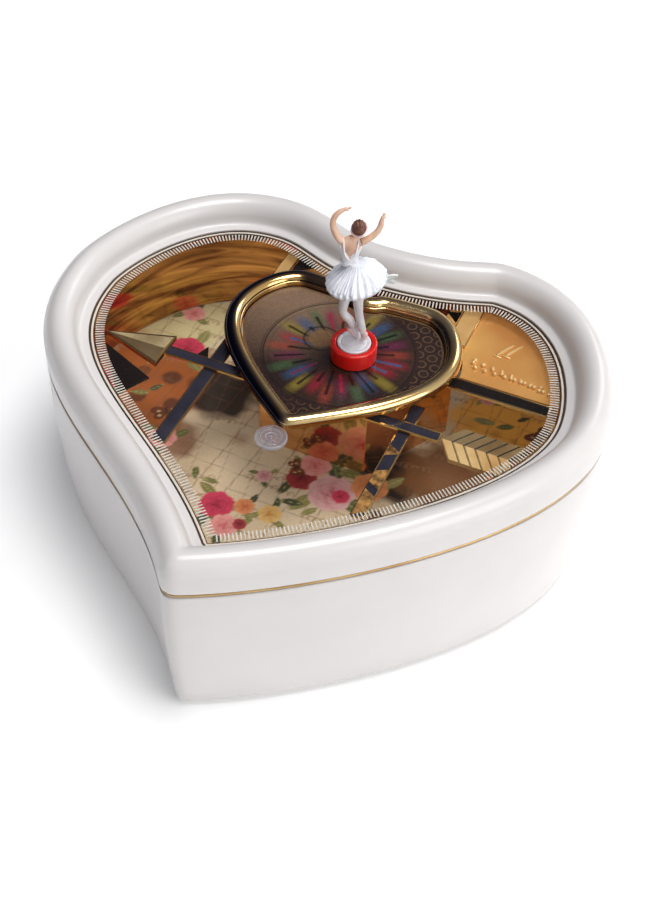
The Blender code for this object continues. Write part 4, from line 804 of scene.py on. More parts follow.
def build_case(mats, case):
    """Lacquered wall, gold strip on its edge, foil inside and the card that floors it."""
    lip, foot = 0.5, 1.0            # radii of the wall's top and bottom edges
    drafted, ease = 35.3, 1.6       # height over which the wall leans out, and how it eases
    section = [(BASE_DRAFT + foot, BASE_BOTTOM)]
    section += arc((BASE_DRAFT + foot, BASE_BOTTOM + foot), foot, 270, 180, 6)[1:]
    section += [(BASE_DRAFT * (1 - t) ** ease, BASE_BOTTOM + foot + drafted * t)
                for t in np.linspace(0.08, 1, 12)]
    section += [(0.0, 44.0), (0.0, BASE_TOP - lip)]
    section += arc((lip, BASE_TOP - lip), lip, 180, 90, 5)[1:]
    section += [(WALL, BASE_TOP), (WALL + 1.0, 16.2), (WALL + 3.6, 16.2), (WALL + 3.6, 14.2),
                (WALL + 1.6, 12.2), (BASE_DRAFT + WALL, BASE_BOTTOM)]
    swept_piece("case_wall", case, section, CASE_POINTS, mats["lacquer"], "base",
                ["base_shell"])

    low, high = (v.z for v in low_high("base_trim"))
    middle = (low + high) / 2
    section = arc((0.25 + 0.35, middle), (0.35, (high - low) / 2), 270, 90, 7) + [(WALL, high), (WALL, low)]
    swept_piece("seam_strip", case, section, CASE_POINTS, mats["trim_gold"], "base", ["base_trim"])

    section = [(LINER_INSET, LINER_BOTTOM), (LINER_INSET, LINER_TOP), (LINER_INSET + 0.9, LINER_TOP)]
    thick, ripple = 1.0, 0.06
    for height in np.linspace(LINER_TOP - 0.3, LINER_BOTTOM + 0.3, 9):
        section.append((LINER_INSET + thick - ripple * (1 + sin(height * 1.9)), height))
    section.append((LINER_INSET + thick, LINER_BOTTOM))
    swept_piece("foil_liner", case, section, CASE_POINTS, mats["foil"], "base",
                ["wall_liner"])

    bm = bmesh.new()
    opening = housing_corners(0.3)
    plate(bm, [heart_loop(case, LINER_INSET, CASE_POINTS), opening], CARD_BOTTOM, CARD_TOP)
    piece("card_sheet", bm, mats["board"], "base", ["floor_card"])


def housing_corners(growth):
    """The corners of the housing's outline, read from its node, moved outward."""
    mesh = frame["nodes"]["movement_housing"].data
    top = max(v.co.z for v in mesh.vertices)
    points = sorted({(round(v.co.x / MM, 3), round(v.co.y / MM, 3)) for v in mesh.vertices
                     if v.co.z > top - 0.0002})
    centre = np.mean(points, axis=0)
    points.sort(key=lambda p: atan2(p[1] - centre[1], p[0] - centre[0]))
    return [tuple(centre + (np.array(p) - centre) * (1 + growth / np.linalg.norm(np.array(p) - centre)))
            for p in points]


def build_housing(mats):
    """Mirror facets of the movement's cover, with a fine bevel on their edges."""
    low, high = (v.z for v in low_high("movement_housing"))
    outer, inner = housing_corners(0.0), housing_corners(-1.3)
    bm = bmesh.new()
    rings = []
    for outline, height in ((inner, low), (outer, low), (outer, high), (inner, high - 1.0)):
        rings.append([bm.verts.new((x, y, height)) for x, y in outline])
    bridge(bm, rings[0], rings[1])
    bridge(bm, rings[1], rings[2])
    bridge(bm, rings[3], rings[0])
    bm.faces.new(rings[2])
    bm.faces.new(rings[3])
    obj = piece("housing_mirror", bm, mats["mirror"], "base", ["movement_housing"], 20)
    bevel(obj, 0.25)


def bevel(obj, width, segments=2):
    modifier = obj.modifiers.new("edge", "BEVEL")
    modifier.width = width * MM
    modifier.segments = segments
    modifier.limit_method = "ANGLE"
    modifier.angle_limit = radians(25)
    modifier.harden_normals = True


# ---------------------------------------------------------------- lid

def build_lid(mats, case):
    """Half-round rim that falls to a flat ledge, and the prints that border the window, two of them dark
    lines of painted shade.
    """
    middle = RIM_WIDTH / 2
    lap = WINDOW_TOP + 0.3
    section = [(0.5, LID_BOTTOM), (0.15, LID_BOTTOM + 0.15), (0.0, LID_BOTTOM + 0.5)]
    section += [(0.0, h) for h in (53.4, 55.0)]
    section += arc((middle, RIM_SHOULDER), (middle, RIM_TOP - RIM_SHOULDER), 180, 8, 26)
    section += [(RIM_WIDTH + 0.1, 55.9), (RIM_WIDTH + 0.35, 55.35), (RIM_WIDTH + 0.75, 55.1),
                (RIM_WIDTH + 1.3, 55.02), (LEDGE_WIDTH - 0.3, lap + 0.6)]
    section += arc((LEDGE_WIDTH - 0.3, lap + 0.3), 0.3, 90, 0, 5)[1:]
    section += [(LEDGE_WIDTH, lap), (WINDOW_INSET - 0.3, lap), (WINDOW_INSET - 0.3, LID_BOTTOM)]
    swept_piece("lid_rim", case, section, CASE_POINTS, mats["lacquer"], "lid", ["lid_frame"])

    # the first dark line is painted shade in the groove between the ledge and the window, and the last,
    # thin one is a painted shadow along the ticks
    for name, near, far, height, mat, slot in (
            ("groove_line", 12.86, 13.45, 0.12, "painted_groove_shade", "felt_black"),
            ("cream_line", 13.5, 14.1, 0.18, "cream_ink", "gold"),
            ("tick_shadow_line", 14.15, 14.4, 0.1, "painted_groove_shade", "felt_black")):
        low = WINDOW_TOP + CLEAR
        section = [(near, low), (near, low + height), (far, low + height), (far, low)]
        swept_piece(name, case, section, CASE_POINTS, mats[mat], "lid")

    bm = bmesh.new()
    count, start, end = 390, 14.75, 17.4
    length, half_width, taper = 2.65, 0.42, 0.8
    outer, limit = heart_loop(case, start, 2 * count), heart_loop(case, end, 2 * count)
    along = (np.roll(outer, -1, axis=0) - np.roll(outer, 1, axis=0)) / 2
    inward = np.column_stack([along[:, 1], -along[:, 0]]) / np.linalg.norm(along, axis=1)[:, None]
    for i in range(0, 2 * count, 2):
        near, far = outer[i], outer[i] + length * inward[i]
        if np.linalg.norm(limit - far, axis=1).min() > 0.6:
            continue
        rows = []
        for height in (WINDOW_TOP + CLEAR, WINDOW_TOP + 0.14):
            side = along[i] * half_width
            corners = (near - side, near + side, far + side * taper, far - side * taper)
            rows.append([bm.verts.new((*p, height)) for p in corners])
        bridge(bm, rows[0], rows[1])
        bm.faces.new(rows[0])
        bm.faces.new(rows[1])
    piece("window_ticks", bm, mats["white_ink"], "lid")


def build_window(mats, case, ring):
    """Clear pane with the stage's opening in it, and the round lens with fine ridges."""
    bm = bmesh.new()
    hole = heart_loop(ring, RING_SKIRT - 0.3, RING_POINTS)
    plate(bm, [heart_loop(case, WINDOW_INSET, CASE_POINTS), hole], WINDOW_BOTTOM, WINDOW_TOP)
    piece("window_pane", bm, mats["glass"], "lid", ["window_panel"])

    low, high = low_high("clear_boss")
    centre = ((low.x + high.x) / 2, (low.y + high.y) / 2)
    reach = (high.x - low.x) / 2
    thick = high.z - low.z
    ridge_gap, ridge_width = 1.35, 0.3
    profile = [(reach, low.z)]
    profile += arc((reach - 0.4, high.z - 0.4), 0.4, 0, 90, 5)
    for radius in np.arange(reach - 0.7, 0.3, -0.16):
        profile.append((radius, high.z - 0.1 * thick * (1 + cos(radius * 5.4))))
    bm = bmesh.new()
    lathe(bm, profile, centre, 64)
    for face in bm.faces:
        middle = face.calc_center_median()
        radius = hypot(middle.x - centre[0], middle.y - centre[1])
        face.material_index = int(radius > reach - 0.5 or radius % ridge_gap < ridge_width)
    piece("boss_lens", bm, [mats["boss"], mats["boss_line"]], "lid", ["clear_boss"])


def build_ring(mats, ring):
    """Gold ring, domed, with a fine bead along its inner edge, and the stage in it."""
    base = WINDOW_TOP + 0.3
    crest = 2.3                         # inset of the dome's highest line
    section = [(0.0, base), (0.03, base + 0.4)]
    section += arc((crest, base + 0.7), (crest - 0.05, RING_TOP - base - 0.7), 176, 90, 14)
    section += arc((crest, base + 0.9), (RING_BAND - crest - 0.35, RING_TOP - base - 0.9), 88, 22, 12)
    section += arc((RING_BAND - 0.45, base + 0.95), (0.4, 0.35), 130, 0, 6)
    section += [(RING_BAND, RING_BOTTOM), (RING_SKIRT, RING_BOTTOM), (RING_SKIRT, base)]
    swept_piece("ring_band", ring, section, RING_POINTS, mats["ring_gold"], "lid", ["gold_ring"])

    bm = bmesh.new()
    plate(bm, [heart_loop(ring, RING_BAND + 0.3, RING_POINTS)], STAGE_BOTTOM, STAGE_TOP)
    piece("stage_sheet", bm, mats["stage_back"], "lid", ["stage_plate"])


def framed_bar(name, node, mats, inlay="inlay", border=0.42, worn=()):
    """A flat gold bar with a dark inlay let into its upper face.

    worn lists (start, end) shares of the length where the inlay is rubbed through to gold.
    """
    low, high = low_high(node)
    bm = bmesh.new()
    corners = ((low.x, low.y), (high.x, low.y), (high.x, high.y), (low.x, high.y))
    inner = ((low.x + border, low.y + border), (high.x - border, low.y + border),
             (high.x - border, high.y - border), (low.x + border, high.y - border))
    rings = [[bm.verts.new((x, y, z)) for x, y in outline] for outline, z in
             ((corners, low.z), (corners, high.z - 0.1), (inner, high.z), (inner, high.z - 0.12))]
    for one, two in zip(rings, rings[1:]):
        bridge(bm, one, two)
    bm.faces.new(rings[0])
    floor = bm.faces.new(rings[3])
    floor.material_index = 1
    sunk = high.z - 0.12
    x0, x1 = inner[0][0], inner[1][0]
    y0, y1 = inner[0][1], inner[2][1]
    for i, (start, end) in enumerate(worn):
        slant = 0.9 * (-1) ** i
        patch = [(x0, y0 + (y1 - y0) * start - slant), (x1, y0 + (y1 - y0) * start + slant),
                 (x1, y0 + (y1 - y0) * end - slant), (x0, y0 + (y1 - y0) * end + slant)]
        below, above = ([bm.verts.new((x, min(max(y, y0), y1), z)) for x, y in patch]
                        for z in (sunk + 0.01, sunk + 0.05))
        bridge(bm, below, above)
        bm.faces.new(below)
        bm.faces.new(above).material_index = 2
    piece(name, bm, [mats["gold"], mats[inlay], mats["worn_gold"]], "lid", [node])


def build_arrow(mats):
    """Folded head, framed shaft and barbed fletching of the gold arrow."""
    low, high = low_high("arrow_head")
    middle = (low.y + high.y) / 2
    bm = bmesh.new()
    edge_top = high.z - 0.45
    border = 0.5
    base, brim = ([bm.verts.new((x, y, z)) for x, y in ((low.x, middle), (high.x, low.y), (high.x, high.y))]
                  for z in (low.z, edge_top))
    bridge(bm, base, brim)
    bm.faces.new(base)
    inner = [bm.verts.new(p) for p in ((low.x + 3 * border, middle, edge_top + 0.1),
                                       (high.x - border, low.y + 2 * border, edge_top + 0.1),
                                       (high.x - border, high.y - 2 * border, edge_top + 0.1))]
    bridge(bm, brim, inner)
    fold = bm.verts.new((high.x - border, middle, high.z))
    # painted light and shade on one metal: each facet of the fold takes its own gold, the near slope the
    # darker trim gold, the far slope the paler head gold and the end facet the polished gold
    for a, b, face in ((0, 1, 2), (2, 0, 1), (1, 2, 0)):
        bm.faces.new((inner[a], inner[b], fold)).material_index = face
    piece("arrow_point", bm, [mats["gold"], mats["head_gold"], mats["trim_gold"]], "lid",
          ["arrow_head"], 12)

    framed_bar("arrow_rod", "arrow_shaft", mats)

    low, high = low_high("arrow_fletching")
    middle = (low.y + high.y) / 2
    half = high.y - middle
    sweep_back = 4.4
    length = high.x - low.x - sweep_back
    barbs = 6
    steps = 10

    def barb_height(u, v):
        notch = 0.3 * (abs((u * barbs) % 1 - 0.5) > 0.42)
        return high.z - 0.5 * (0.25 + abs(v) * 0.6) - notch

    bm = bmesh.new()
    rows = []
    us = np.linspace(0, 1, barbs * steps + 1)
    vs = np.linspace(-1, 1, 21)
    for z_of in (lambda u, v: low.z, barb_height):
        rows.append([[bm.verts.new((low.x + u * length + abs(v) * sweep_back, middle + v * half,
                                    z_of(u, v))) for v in vs] for u in us])
    # painted light and shade on one gold: the near slope takes the brighter vane gold, the far slope the
    # darker trim gold, and the faces into each groove between barbs take the painted groove shade
    close_sheet(bm, *rows, lambda i, j: 2 if i % steps == steps - 1 else int(vs[j] >= 0))
    piece("arrow_vane", bm, [mats["vane_gold"], mats["trim_gold"], mats["painted_groove_shade"]], "lid",
          ["arrow_fletching"], 20)


def build_bars(mats):
    """Five flat bars that cross behind the window."""
    framed_bar("bar_left", "spoke_left", mats)
    framed_bar("bar_front", "spoke_front", mats, "inlay", 0.34,
               [(0.02, 0.2), (0.26, 0.4), (0.54, 0.6)])
    framed_bar("bar_right", "spoke_right", mats, "black_glass", 0.5)
    framed_bar("bar_back_left", "spoke_back_left", mats, "vane_gold", 0.3)
    framed_bar("bar_back_right", "spoke_back_right", mats, "vane_gold", 0.3)


def build_facets(mats):
    """Small dark triangles set between the bars, in the plane of the lattice."""
    low, high = low_high("spoke_left")
    triangles = {"facet_left": ((-62.0, -2.5), (-48.0, -20.5), (-43.0, -10.5)),
                 "facet_back": ((-26.3, 52.4), (-26.3, 61.4), (-19.5, 57.2)),
                 "facet_right": ((24.8, 54.7), (29.5, 56.2), (29.5, 50.3)),
                 "facet_ring": ((-35.4, 3.9), (-33.6, 8.9), (-31.4, 3.9))}
    for name, corners in triangles.items():
        bm = bmesh.new()
        plate(bm, [corners], low.z + 0.1, high.z)
        bevel(piece(name, bm, mats["black_glass"], "lid"), 0.1, 1)


def build_field(mats, case, ring):
    """Gold sheet between the ring and the window's edge, with a raised spray of leaves on it."""
    low, high = low_high("gold_field")
    left, bottom = 25.0, 28.2           # the sheet's straight inner edges
    outer = heart_loop(case, LEDGE_WIDTH + 0.5, CASE_POINTS)
    inner = heart_loop(ring, -0.3, RING_POINTS)
    outer = [tuple(p) for p in outer if p[0] > left and p[1] > bottom]
    inner = [tuple(p) for p in inner if p[0] > left and p[1] > bottom]
    corner = [(outer[-1][0], bottom), (inner[-1][0], bottom)]
    bm = bmesh.new()
    plate(bm, [outer + corner + inner[::-1]], low.z, high.z)
    piece("gold_sheet", bm, mats["sheet_gold"], "lid", ["gold_field"])

    bm = bmesh.new()
    top = high.z + 0.12
    for k in range(2):
        stem = [(45.4 + 2.6 * k + 3.4 * t, 41.8 + 0.9 * k + 6.6 * t, top) for t in np.linspace(0, 1, 4)]
        limb(bm, stem, [0.4, 0.52, 0.46, 0.24], 24, 10)
        foot = [(44.2 + 2.6 * k + 3.0 * t, 41.6 + 0.9 * k - 0.4 * t, top) for t in np.linspace(0, 1, 3)]
        limb(bm, foot, [0.2, 0.34, 0.2], 16, 10)
    buds, start_x, start_y, run, drop = 26, 39.6, 35.6, 25.4, 3.2
    for k in range(buds):
        t = k / (buds - 1)
        x, y = start_x + run * t, start_y - drop * t + 0.8 * sin(2.3 * k)
        bud = [(x, y, top), (x + 0.6 * cos(2.1 * k), y + 0.9 * sin(2.1 * k), top + 0.15),
               (x + 1.2 * cos(2.1 * k), y + 1.5 * sin(2.1 * k), top)]
        limb(bm, bud, [0.62, 0.78, 0.4], 14, 10)
    piece("gold_spray", bm, mats["vane_gold"], "lid")


# ---------------------------------------------------------------- dancer

LEFT_LEG = [(0.9, 1.6, 6.3), (0.2, 1.5, 8.8), (-1.5, 1.0, 13.0), (-3.6, 0.4, 16.6), (-3.3, 0.2, 21.5),
            (-1.9, 0.0, 28.3)]
RIGHT_LEG = [(2.6, 0.5, 6.3), (2.5, 0.3, 8.6), (1.7, 0.0, 12.4), (0.9, 0.4, 16.5), (0.4, 0.2, 21.5),
             (-0.2, 0.0, 28.3)]
LEG_RADII = (0.5, 0.8, 1.2, 1.2, 1.5, 1.6)
TUTU = [(2.2, 28.6), (7.6, 27.9), (8.4, 28.5), (8.2, 29.3), (6.9, 30.9), (5.0, 32.4), (3.4, 33.8),
        (2.4, 35.2)]
TUTU_X = -0.4
TORSO = [(-2.6, 0.0, 34.2), (-2.6, 0.0, 35.8), (-2.6, 0.0, 37.6), (-2.55, 0.0, 39.4), (-2.3, 0.1, 41.0),
         (-1.8, 0.2, 42.4), (-1.2, 0.2, 43.4), (-0.9, 0.2, 44.6)]
TORSO_RADII = (2.1, 2.0, 2.35, 2.85, 2.95, 2.0, 1.0, 0.9)
HEAD_AT = (-0.5, 0.3, 46.4)
ARM_LEFT = [(-4.2, 0.2, 41.0), (-5.4, 0.3, 42.1), (-6.7, 0.6, 43.9), (-7.5, 0.8, 46.3), (-7.3, 1.1, 48.6),
            (-6.2, 1.3, 50.2), (-4.7, 1.6, 51.15), (-3.7, 1.7, 51.4)]
ARM_RIGHT = [(-0.8, 0.2, 41.2), (0.8, 0.3, 41.9), (2.6, 0.5, 43.0), (4.3, 0.7, 44.7), (5.2, 1.0, 46.4),
             (5.5, 1.2, 47.9), (5.7, 1.3, 49.0), (5.9, 1.4, 49.6)]
ARM_RADII = (1.15, 1.05, 0.95, 0.86, 0.82, 0.74, 0.55, 0.36)


def figure_piece(name, bm, mat, nodes=(), smooth_angle=35.0):
    """A piece drawn about the cup's axis and moved to where the dancer stands."""
    obj = piece(name, bm, mat, "dancer", nodes, smooth_angle)
    place = Matrix.Translation((CUP_X * MM, CUP_Y * MM, STAGE_TOP * MM))
    obj.data.transform(place @ Matrix.Rotation(DANCER_TURN, 4, "Z"))


def build_cup(mats):
    """Red cup with a shallow recess, and the white disc that the dancer's feet stand on."""
    low, high = CUP_LOW.z, CUP_HIGH.z
    recess = 5.3
    profile = arc((CUP_R - 0.4, low + 0.4), 0.4, 270, 360, 5)
    profile += arc((CUP_R - 0.55, high - 0.55), 0.55, 0, 90, 7)
    profile += arc((recess + 0.25, high - 0.25), 0.25, 90, 180, 4)
    profile += [(recess, high - 1.0)]
    bm = bmesh.new()
    lathe(bm, profile, (CUP_X, CUP_Y), 128)
    piece("red_cup", bm, mats["red"], "cup", ["magnet_cup"])

    bm = bmesh.new()
    profile = [(4.9, 5.1), (4.95, 5.7)] + arc((4.7, 5.7), 0.25, 0, 90, 4)
    profile += [(4.0, 5.9), (3.9, 5.82), (3.7, 5.82), (3.6, 5.9), (0.6, 6.0)]
    lathe(bm, profile, segments=96)
    figure_piece("foot_disc", bm, mats["satin"], ["cup_disc"])


def build_legs(mats):
    """Stockinged legs, one knee bent, and the shoes with their ribbons."""
    bm = bmesh.new()
    limb(bm, LEFT_LEG, LEG_RADII, 60, 24)
    limb(bm, RIGHT_LEG, LEG_RADII, 60, 24)
    figure_piece("stockings", bm, mats["satin"], ["dancer_legs"])
    bm = bmesh.new()
    for leg, heel in ((LEFT_LEG, Vector((-2.3, 0.1, 0.9))), (RIGHT_LEG, Vector((0.5, -0.7, 0.8)))):
        toe, ankle = Vector(leg[0]), Vector(leg[1])
        limb(bm, [toe + Vector((0.0, 0.1, -0.1)), toe.lerp(ankle, 0.5) + heel * 0.25, ankle + heel * 0.7,
                  ankle + heel + Vector((0.0, 0.0, 0.6))], (0.5, 0.85, 1.0, 0.6), 24, 20)
        at = smooth_line(leg, 200)
        for turn in range(2):
            height = ankle.z + 2.2 + 0.9 * turn
            middle = at[int(np.argmin(abs(at[:, 2] - height)))]
            band = [(middle[0] + 1.1 * cos(a), middle[1] + 1.1 * sin(a), height + 0.25 * sin(a))
                    for a in np.linspace(0, 2 * pi, 17)]
            limb(bm, band, [0.13] * 17, 40, 8)
    figure_piece("pointe_shoes", bm, mats["shoe"])


def build_tutu(mats):
    """Three pleated layers of tulle, fullest at the hem and tipped up to one side."""
    tilt = 1.6
    for layer, (grow, lift, pleats, phase) in enumerate(((1.0, 0.0, 26, 0.0), (0.94, 0.7, 22, 1.1),
                                                         (0.82, 1.3, 18, 2.3))):
        rows = smooth_line(TUTU, 36)
        full = unit((rows[:, 0] - 2.2) / 6.2)

        def ripple(a, i, pleats=pleats, phase=phase, full=full):
            wave = sin(pleats * a + phase + 0.8 * sin(3 * a)) + 0.35 * sin(7 * a + phase)
            return 0.24 * full[i] * wave, full[i] * (0.3 * wave + tilt * cos(a))

        profile = [(r * grow if r > 2.6 else r, z + lift * f) for (r, z), f in zip(rows, full)]
        bm = bmesh.new()
        lathe(bm, profile, (TUTU_X, 0.0), 288, ripple)
        nodes = ["dancer_tutu"] if layer == 0 else []
        figure_piece(f"tutu_layer_{layer + 1}", bm, mats["tulle"], nodes, 60)


def build_bodice(mats):
    """Bare back and neck, the low-backed bodice over it, straps, sash and bow."""
    bm = bmesh.new()
    limb(bm, TORSO, TORSO_RADII, 70, 36, 0.66)
    figure_piece("back_and_neck", bm, mats["skin"], ["dancer_torso"])

    bm = bmesh.new()
    rows = smooth_line([(*p, r) for p, r in zip(TORSO, TORSO_RADII)], 90)
    rings = []
    for x, y, z, radius in rows[rows[:, 2] < 42.0]:
        ring = []
        for a in np.linspace(0, 2 * pi, 48, endpoint=False):
            edge = 37.2 + 4.0 * abs(cos(a)) ** 0.8 if sin(a) < 0 else 40.6 + 0.5 * abs(cos(a))
            reach = radius * (1.07 if z < edge else 0.86)
            ring.append(bm.verts.new((x + reach * cos(a), y + reach * 0.68 * sin(a), z)))
        rings.append(ring)
    stack(bm, rings)
    for side in (-1, 1):
        strap = [(-2.5 + side * 2.1, 1.6, 40.4), (-2.4 + side * 2.1, 0.9, 42.2),
                 (-2.4 + side * 2.0, -0.6, 42.3), (-2.5 + side * 1.75, -1.75, 40.4),
                 (-2.55 + side * 1.3, -1.75, 38.4), (-2.6, -1.5, 36.6)]
        limb(bm, strap, [0.24] * 6, 40, 8)
    sash = [(-2.6 + 2.2 * cos(a), 1.5 * sin(a), 35.2) for a in np.linspace(0, 2 * pi, 25)]
    limb(bm, sash, [0.38] * 25, 60, 10)
    figure_piece("bodice", bm, mats["satin"])

    bm = bmesh.new()
    for k, (rise, out) in enumerate(((1.0, 4.6), (-0.6, 4.0))):
        us, vs = np.linspace(0, 1, 14), np.linspace(-1, 1, 9)
        sides = []
        for offset in (-0.07, 0.07):
            sides.append([[bm.verts.new((6.4 + out * u,
                                         -0.6 + 0.5 * sin(7 * v + k) * u + offset,
                                         29.8 + 1.6 * rise * u + 0.9 * v * sin(pi * (0.15 + 0.8 * u))))
                           for v in vs] for u in us])
        close_sheet(bm, *sides)
    figure_piece("sash_bow", bm, mats["wing"])


def build_arms(mats):
    """Arms, palms, four fingers and a thumb on each."""
    for name, arm in (("arm_left", ARM_LEFT), ("arm_right", ARM_RIGHT)):
        bm = bmesh.new()
        limb(bm, arm, ARM_RADII, 56, 20)
        wrist, hand = Vector(arm[-2]), Vector(arm[-1])
        ahead = (hand - wrist).normalized()
        side = ahead.cross(Vector((0.0, 1.0, 0.0))).normalized()
        palm = [wrist, wrist.lerp(hand, 0.5) + side * 0.1, hand + ahead * 0.3]
        limb(bm, palm, (0.34, 0.52, 0.36), 20, 14, 0.6)
        for k in range(4):
            spread_out = side * (0.34 - 0.22 * k)
            root = hand + spread_out * 0.7 + ahead * 0.1
            tip = root + ahead * (1.0 - 0.12 * abs(k - 1)) + spread_out * 0.5 + Vector((0.0, 0.12 * k, 0.0))
            limb(bm, [root, root.lerp(tip, 0.5), tip], (0.14, 0.13, 0.08), 12, 8)
        thumb = wrist.lerp(hand, 0.4) - side * 0.3
        limb(bm, [thumb, thumb - side * 0.35 + ahead * 0.35, thumb - side * 0.4 + ahead * 0.75],
             (0.16, 0.14, 0.08), 12, 8)
        figure_piece(name, bm, mats["skin"], ["dancer_" + name])


def build_head(mats):
    """A doll's head on plain proportions, facing +Y, with painted features and a low bun."""
    rows, columns = 56, 72
    width, depth, tall = 1.85, 2.0, 2.2
    mesh = bpy.data.meshes.new("doll_head")
    verts, ink = [], []
    skin, lips, brow, white, iris, blush = (np.array(paint(*c)) for c in (
        (234, 190, 162), (196, 92, 88), (96, 62, 46), (244, 242, 238), (58, 44, 38), (230, 160, 140)))
    for i in range(rows + 1):
        v = pi * i / rows
        for k in range(columns):
            a = 2 * pi * k / columns
            x, y, z = sin(v) * cos(a), sin(v) * sin(a), cos(v)
            jaw = 1 - 0.24 * max(-z, 0) ** 1.4
            front = max(y, 0.0)
            nose = 0.26 * exp(-(x / 0.13) ** 2 - ((z + 0.12) / 0.2) ** 2) * front
            socket = sum(0.09 * exp(-((x - s * 0.34) / 0.16) ** 2 - ((z - 0.1) / 0.12) ** 2)
                         for s in (-1, 1)) * front
            mouth = 0.07 * exp(-(x / 0.24) ** 2 - ((z + 0.45) / 0.07) ** 2) * front
            chin = 0.08 * exp(-(x / 0.3) ** 2 - ((z + 0.78) / 0.16) ** 2) * front
            reach = 1 + nose - socket + mouth + chin
            verts.append(Vector((x * width * jaw * reach, y * depth * jaw * reach, z * tall)))
            tone = skin.copy()
            for s in (-1, 1):
                ex, ez = (x - s * 0.34) / 0.17, (z - 0.1) / 0.075
                cheek = exp(-((x - s * 0.5) / 0.2) ** 2 - ((z + 0.2) / 0.16) ** 2)
                tone += (blush - tone) * 0.45 * cheek * (y > 0)
                if y > 0.2 and ex * ex + ez * ez < 1:
                    tone = white if hypot(x - s * 0.34, z - 0.1) > 0.085 else iris
                arched = abs(z - 0.235 + 1.2 * (x - s * 0.34) ** 2) < 0.03
                if y > 0.2 and arched and abs(x - s * 0.34) < 0.2:
                    tone = brow
            if y > 0.2 and abs(x) < 0.22 and abs(z + 0.45) < 0.06 * (1 - (x / 0.24) ** 2):
                tone = lips
            ink.append(tone)
    faces = []
    for i in range(rows):
        for k in range(columns):
            j = (k + 1) % columns
            faces.append((i * columns + k, (i + 1) * columns + k, (i + 1) * columns + j, i * columns + j))
    mesh.from_pydata(verts, [], faces)
    layer = mesh.color_attributes.new("ink", "FLOAT_COLOR", "POINT")
    for point, tone in zip(layer.data, ink):
        point.color = (*tone, 1.0)
    bm = bmesh.new()
    bm.from_mesh(mesh)
    bmesh.ops.remove_doubles(bm, verts=bm.verts, dist=0.001)
    bmesh.ops.translate(bm, verts=bm.verts, vec=HEAD_AT)
    figure_piece("doll_face", bm, mats["face"], ["dancer_head"])

    bm = bmesh.new()
    centre = Vector(HEAD_AT)
    shell = bmesh.ops.create_uvsphere(bm, u_segments=96, v_segments=48, radius=1.0)["verts"]
    for vert in shell:
        x, y, z = vert.co
        strand = 0.035 * sin(34 * atan2(x, z + 1.4) + 2 * y)
        hairline = z - 0.62 * max(y, 0.0) ** 0.7 + 0.55 * max(-y, 0.0) + 0.1
        tuck = 1.08 + strand if hairline > 0 else max(0.86, 1.08 + strand + hairline * 1.5)
        vert.co = centre + Vector((x * width * tuck, y * depth * tuck - 0.1, z * tall * tuck))
    bun = bmesh.ops.create_uvsphere(bm, u_segments=64, v_segments=32, radius=1.0)["verts"]
    for vert in bun:
        x, y, z = vert.co
        coil = 1 + 0.05 * sin(5 * atan2(z, x) + 9 * hypot(x, z))
        vert.co = centre + Vector((x * 1.05 * coil + 0.3, y * 0.75 * coil - 2.25, z * 1.05 * coil + 0.6))
    figure_piece("hair_and_bun", bm, mats["hair"], (), 60)

    bm = bmesh.new()
    band = [centre + Vector((width * 1.14 * cos(a) + 0.1, depth * 1.14 * sin(a) - 0.1,
                             0.9 * sin(a) - 0.35 + 0.3 * cos(a)))
            for a in np.linspace(0, 2 * pi, 33)]
    limb(bm, band, [0.26] * 33, 90, 10)
    figure_piece("hair_band", bm, mats["shoe"])


# ---------------------------------------------------------------- nodes kept as they are

def dress_nodes(mats):
    """The frame's remaining nodes keep their shape and take a finish."""
    dress = {
        "gold": ("hinge_leaf_base", "hinge_leaf_lid"),
        "board": ("inner_deck", "bottom_board"),
        "rubber": ("foot_front", "foot_right", "foot_left"),
        "felt": ("stop_slider",),
        "steel": ("hinge_pin", "bed_screw_1", "bed_screw_2", "comb_screw_1", "comb_screw_2", "comb",
                  "winding_shaft", "wheel_pinion", "governor_fan", "output_shaft", "drive_magnet"),
        "brass": ("bedplate", "comb_block", "bearing_plate_left", "bearing_plate_right", "winding_key",
                  "spring_barrel", "barrel_gear", "pinned_drum"),
        "nylon": ("drum_pinion", "drum_gear", "governor_wheel", "output_gear", "magnet_arm"),
    }
    for mat, names in dress.items():
        for name in names:
            mesh = frame["nodes"][name].data
            mesh.materials.clear()
            mesh.materials.append(mats[mat])


# ---------------------------------------------------------------- studio

def look_at(obj, target):
    obj.rotation_euler = (Vector(target) - obj.location).to_track_quat("-Z", "Y").to_euler()


def area_light(name, location, target, size, power, colour=(1.0, 1.0, 1.0)):
    data = bpy.data.lights.new(name, "AREA")
    data.shape = "RECTANGLE"
    data.size, data.size_y = size
    data.energy = power
    data.color = colour
    obj = add_object(name, data)
    obj.location = location
    look_at(obj, target)


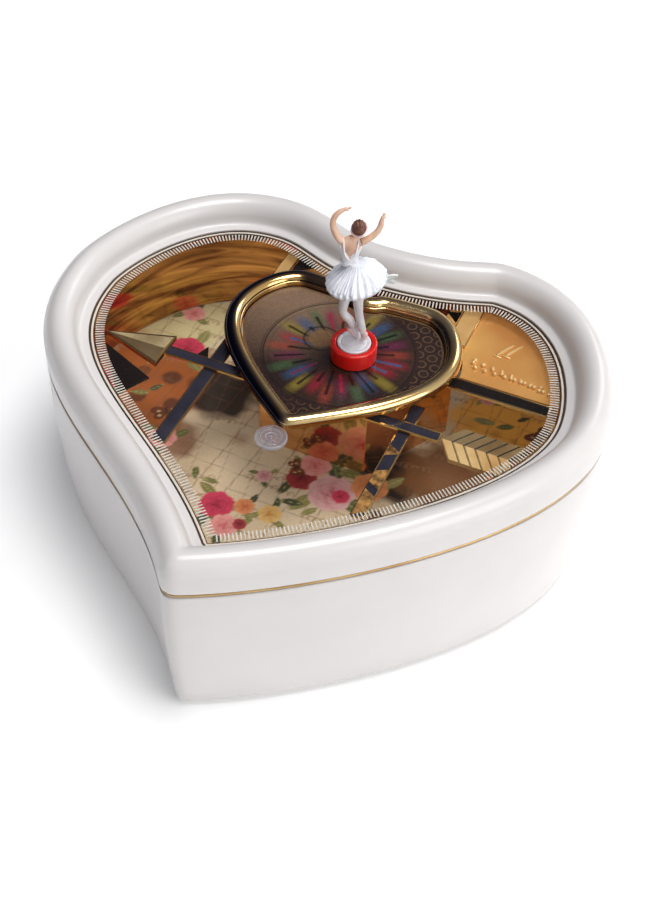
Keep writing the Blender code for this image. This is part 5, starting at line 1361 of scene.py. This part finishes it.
def build_studio():
    """Pale floor, soft key from the right and above, and a world that darkens to the left."""
    mat, tree, shader = principled("studio_floor", Roughness=0.7, Emission_Strength=0.17)
    tone = ramp(tree, grain(tree, 3.0, 2.0), [(0.3, (0.95, 0.95, 0.95)), (0.7, (0.97, 0.97, 0.97))])
    tree.links.new(tone, shader.inputs["Base Color"])
    tree.links.new(tone, shader.inputs["Emission Color"])
    bm = bmesh.new()
    bmesh.ops.create_grid(bm, x_segments=2, y_segments=2, size=4.0)
    mesh = bpy.data.meshes.new("studio_floor")
    bm.to_mesh(mesh)
    bm.free()
    mesh.materials.append(mat)
    floor = add_object("studio_floor", mesh)
    floor.location.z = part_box("foot_front")[0].z

    centre = (0.0, 0.0, 0.04)
    area_light("key", (1.15, -0.32, 0.72), centre, (0.8, 0.8), 6.1)
    area_light("top", (0.18, 0.05, 1.27), centre, (0.55, 0.55), 10.6)
    area_light("back", (0.35, 1.25, 0.85), centre, (0.5, 0.5), 2.6)

    world = bpy.data.worlds.new("studio")
    bpy.context.scene.world = world
    world.use_nodes = True
    tree = world.node_tree
    place = tree.nodes.new("ShaderNodeTexCoord")
    split = tree.nodes.new("ShaderNodeSeparateXYZ")
    tree.links.new(place.outputs["Generated"], split.inputs["Vector"])
    mixed = tree.nodes.new("ShaderNodeMath")
    mixed.operation = "MULTIPLY_ADD"
    mixed.inputs[1].default_value = 0.5
    mixed.inputs[2].default_value = 0.5
    tree.links.new(split.outputs["X"], mixed.inputs[0])
    colours = ramp(tree, mixed.outputs["Value"], [(0.1, (0.04, 0.04, 0.06)), (0.38, (0.13, 0.13, 0.17)),
                                                  (0.62, (0.5, 0.5, 0.5)), (0.9, (0.8, 0.8, 0.8))])
    background = tree.nodes["Background"]
    background.inputs["Strength"].default_value = 0.8
    tree.links.new(colours, background.inputs["Color"])
    bpy.context.scene.view_settings.view_transform = "Standard"


def build_camera():
    """Camera from above and to the right of the tip, slightly rolled."""
    azimuth, elevation, roll = (radians(a) for a in (21.535, 45.939, 2.641))
    back = Vector((sin(azimuth) * cos(elevation), -cos(azimuth) * cos(elevation),
                   sin(elevation)))
    right = Vector((cos(azimuth), sin(azimuth), 0.0))
    up = back.cross(right)
    rolled_right = cos(roll) * right + sin(roll) * up
    rolled_up = -sin(roll) * right + cos(roll) * up
    data = bpy.data.cameras.new("camera")
    data.lens = 55.676
    stand_at = (0.11422, -0.26397, 0.32751)
    camera = add_object("camera", data)
    turn = Matrix((rolled_right, rolled_up, back)).transposed().to_4x4()
    camera.matrix_world = Matrix.Translation(stand_at) @ turn
    bpy.context.scene.camera = camera


def build():
    mats = make_materials()
    case = case_outline()
    ring = ring_outline()
    build_camera()
    build_studio()
    build_case(mats, case)
    build_housing(mats)
    build_lid(mats, case)
    build_window(mats, case, ring)
    build_ring(mats, ring)
    build_arrow(mats)
    build_bars(mats)
    build_facets(mats)
    build_field(mats, case, ring)
    floor_print(mats, case)
    stage_print(mats, ring)
    build_cup(mats)
    build_legs(mats)
    build_tutu(mats)
    build_bodice(mats)
    build_arms(mats)
    build_head(mats)
    dress_nodes(mats)


build()
bpy.context.view_layer.update()
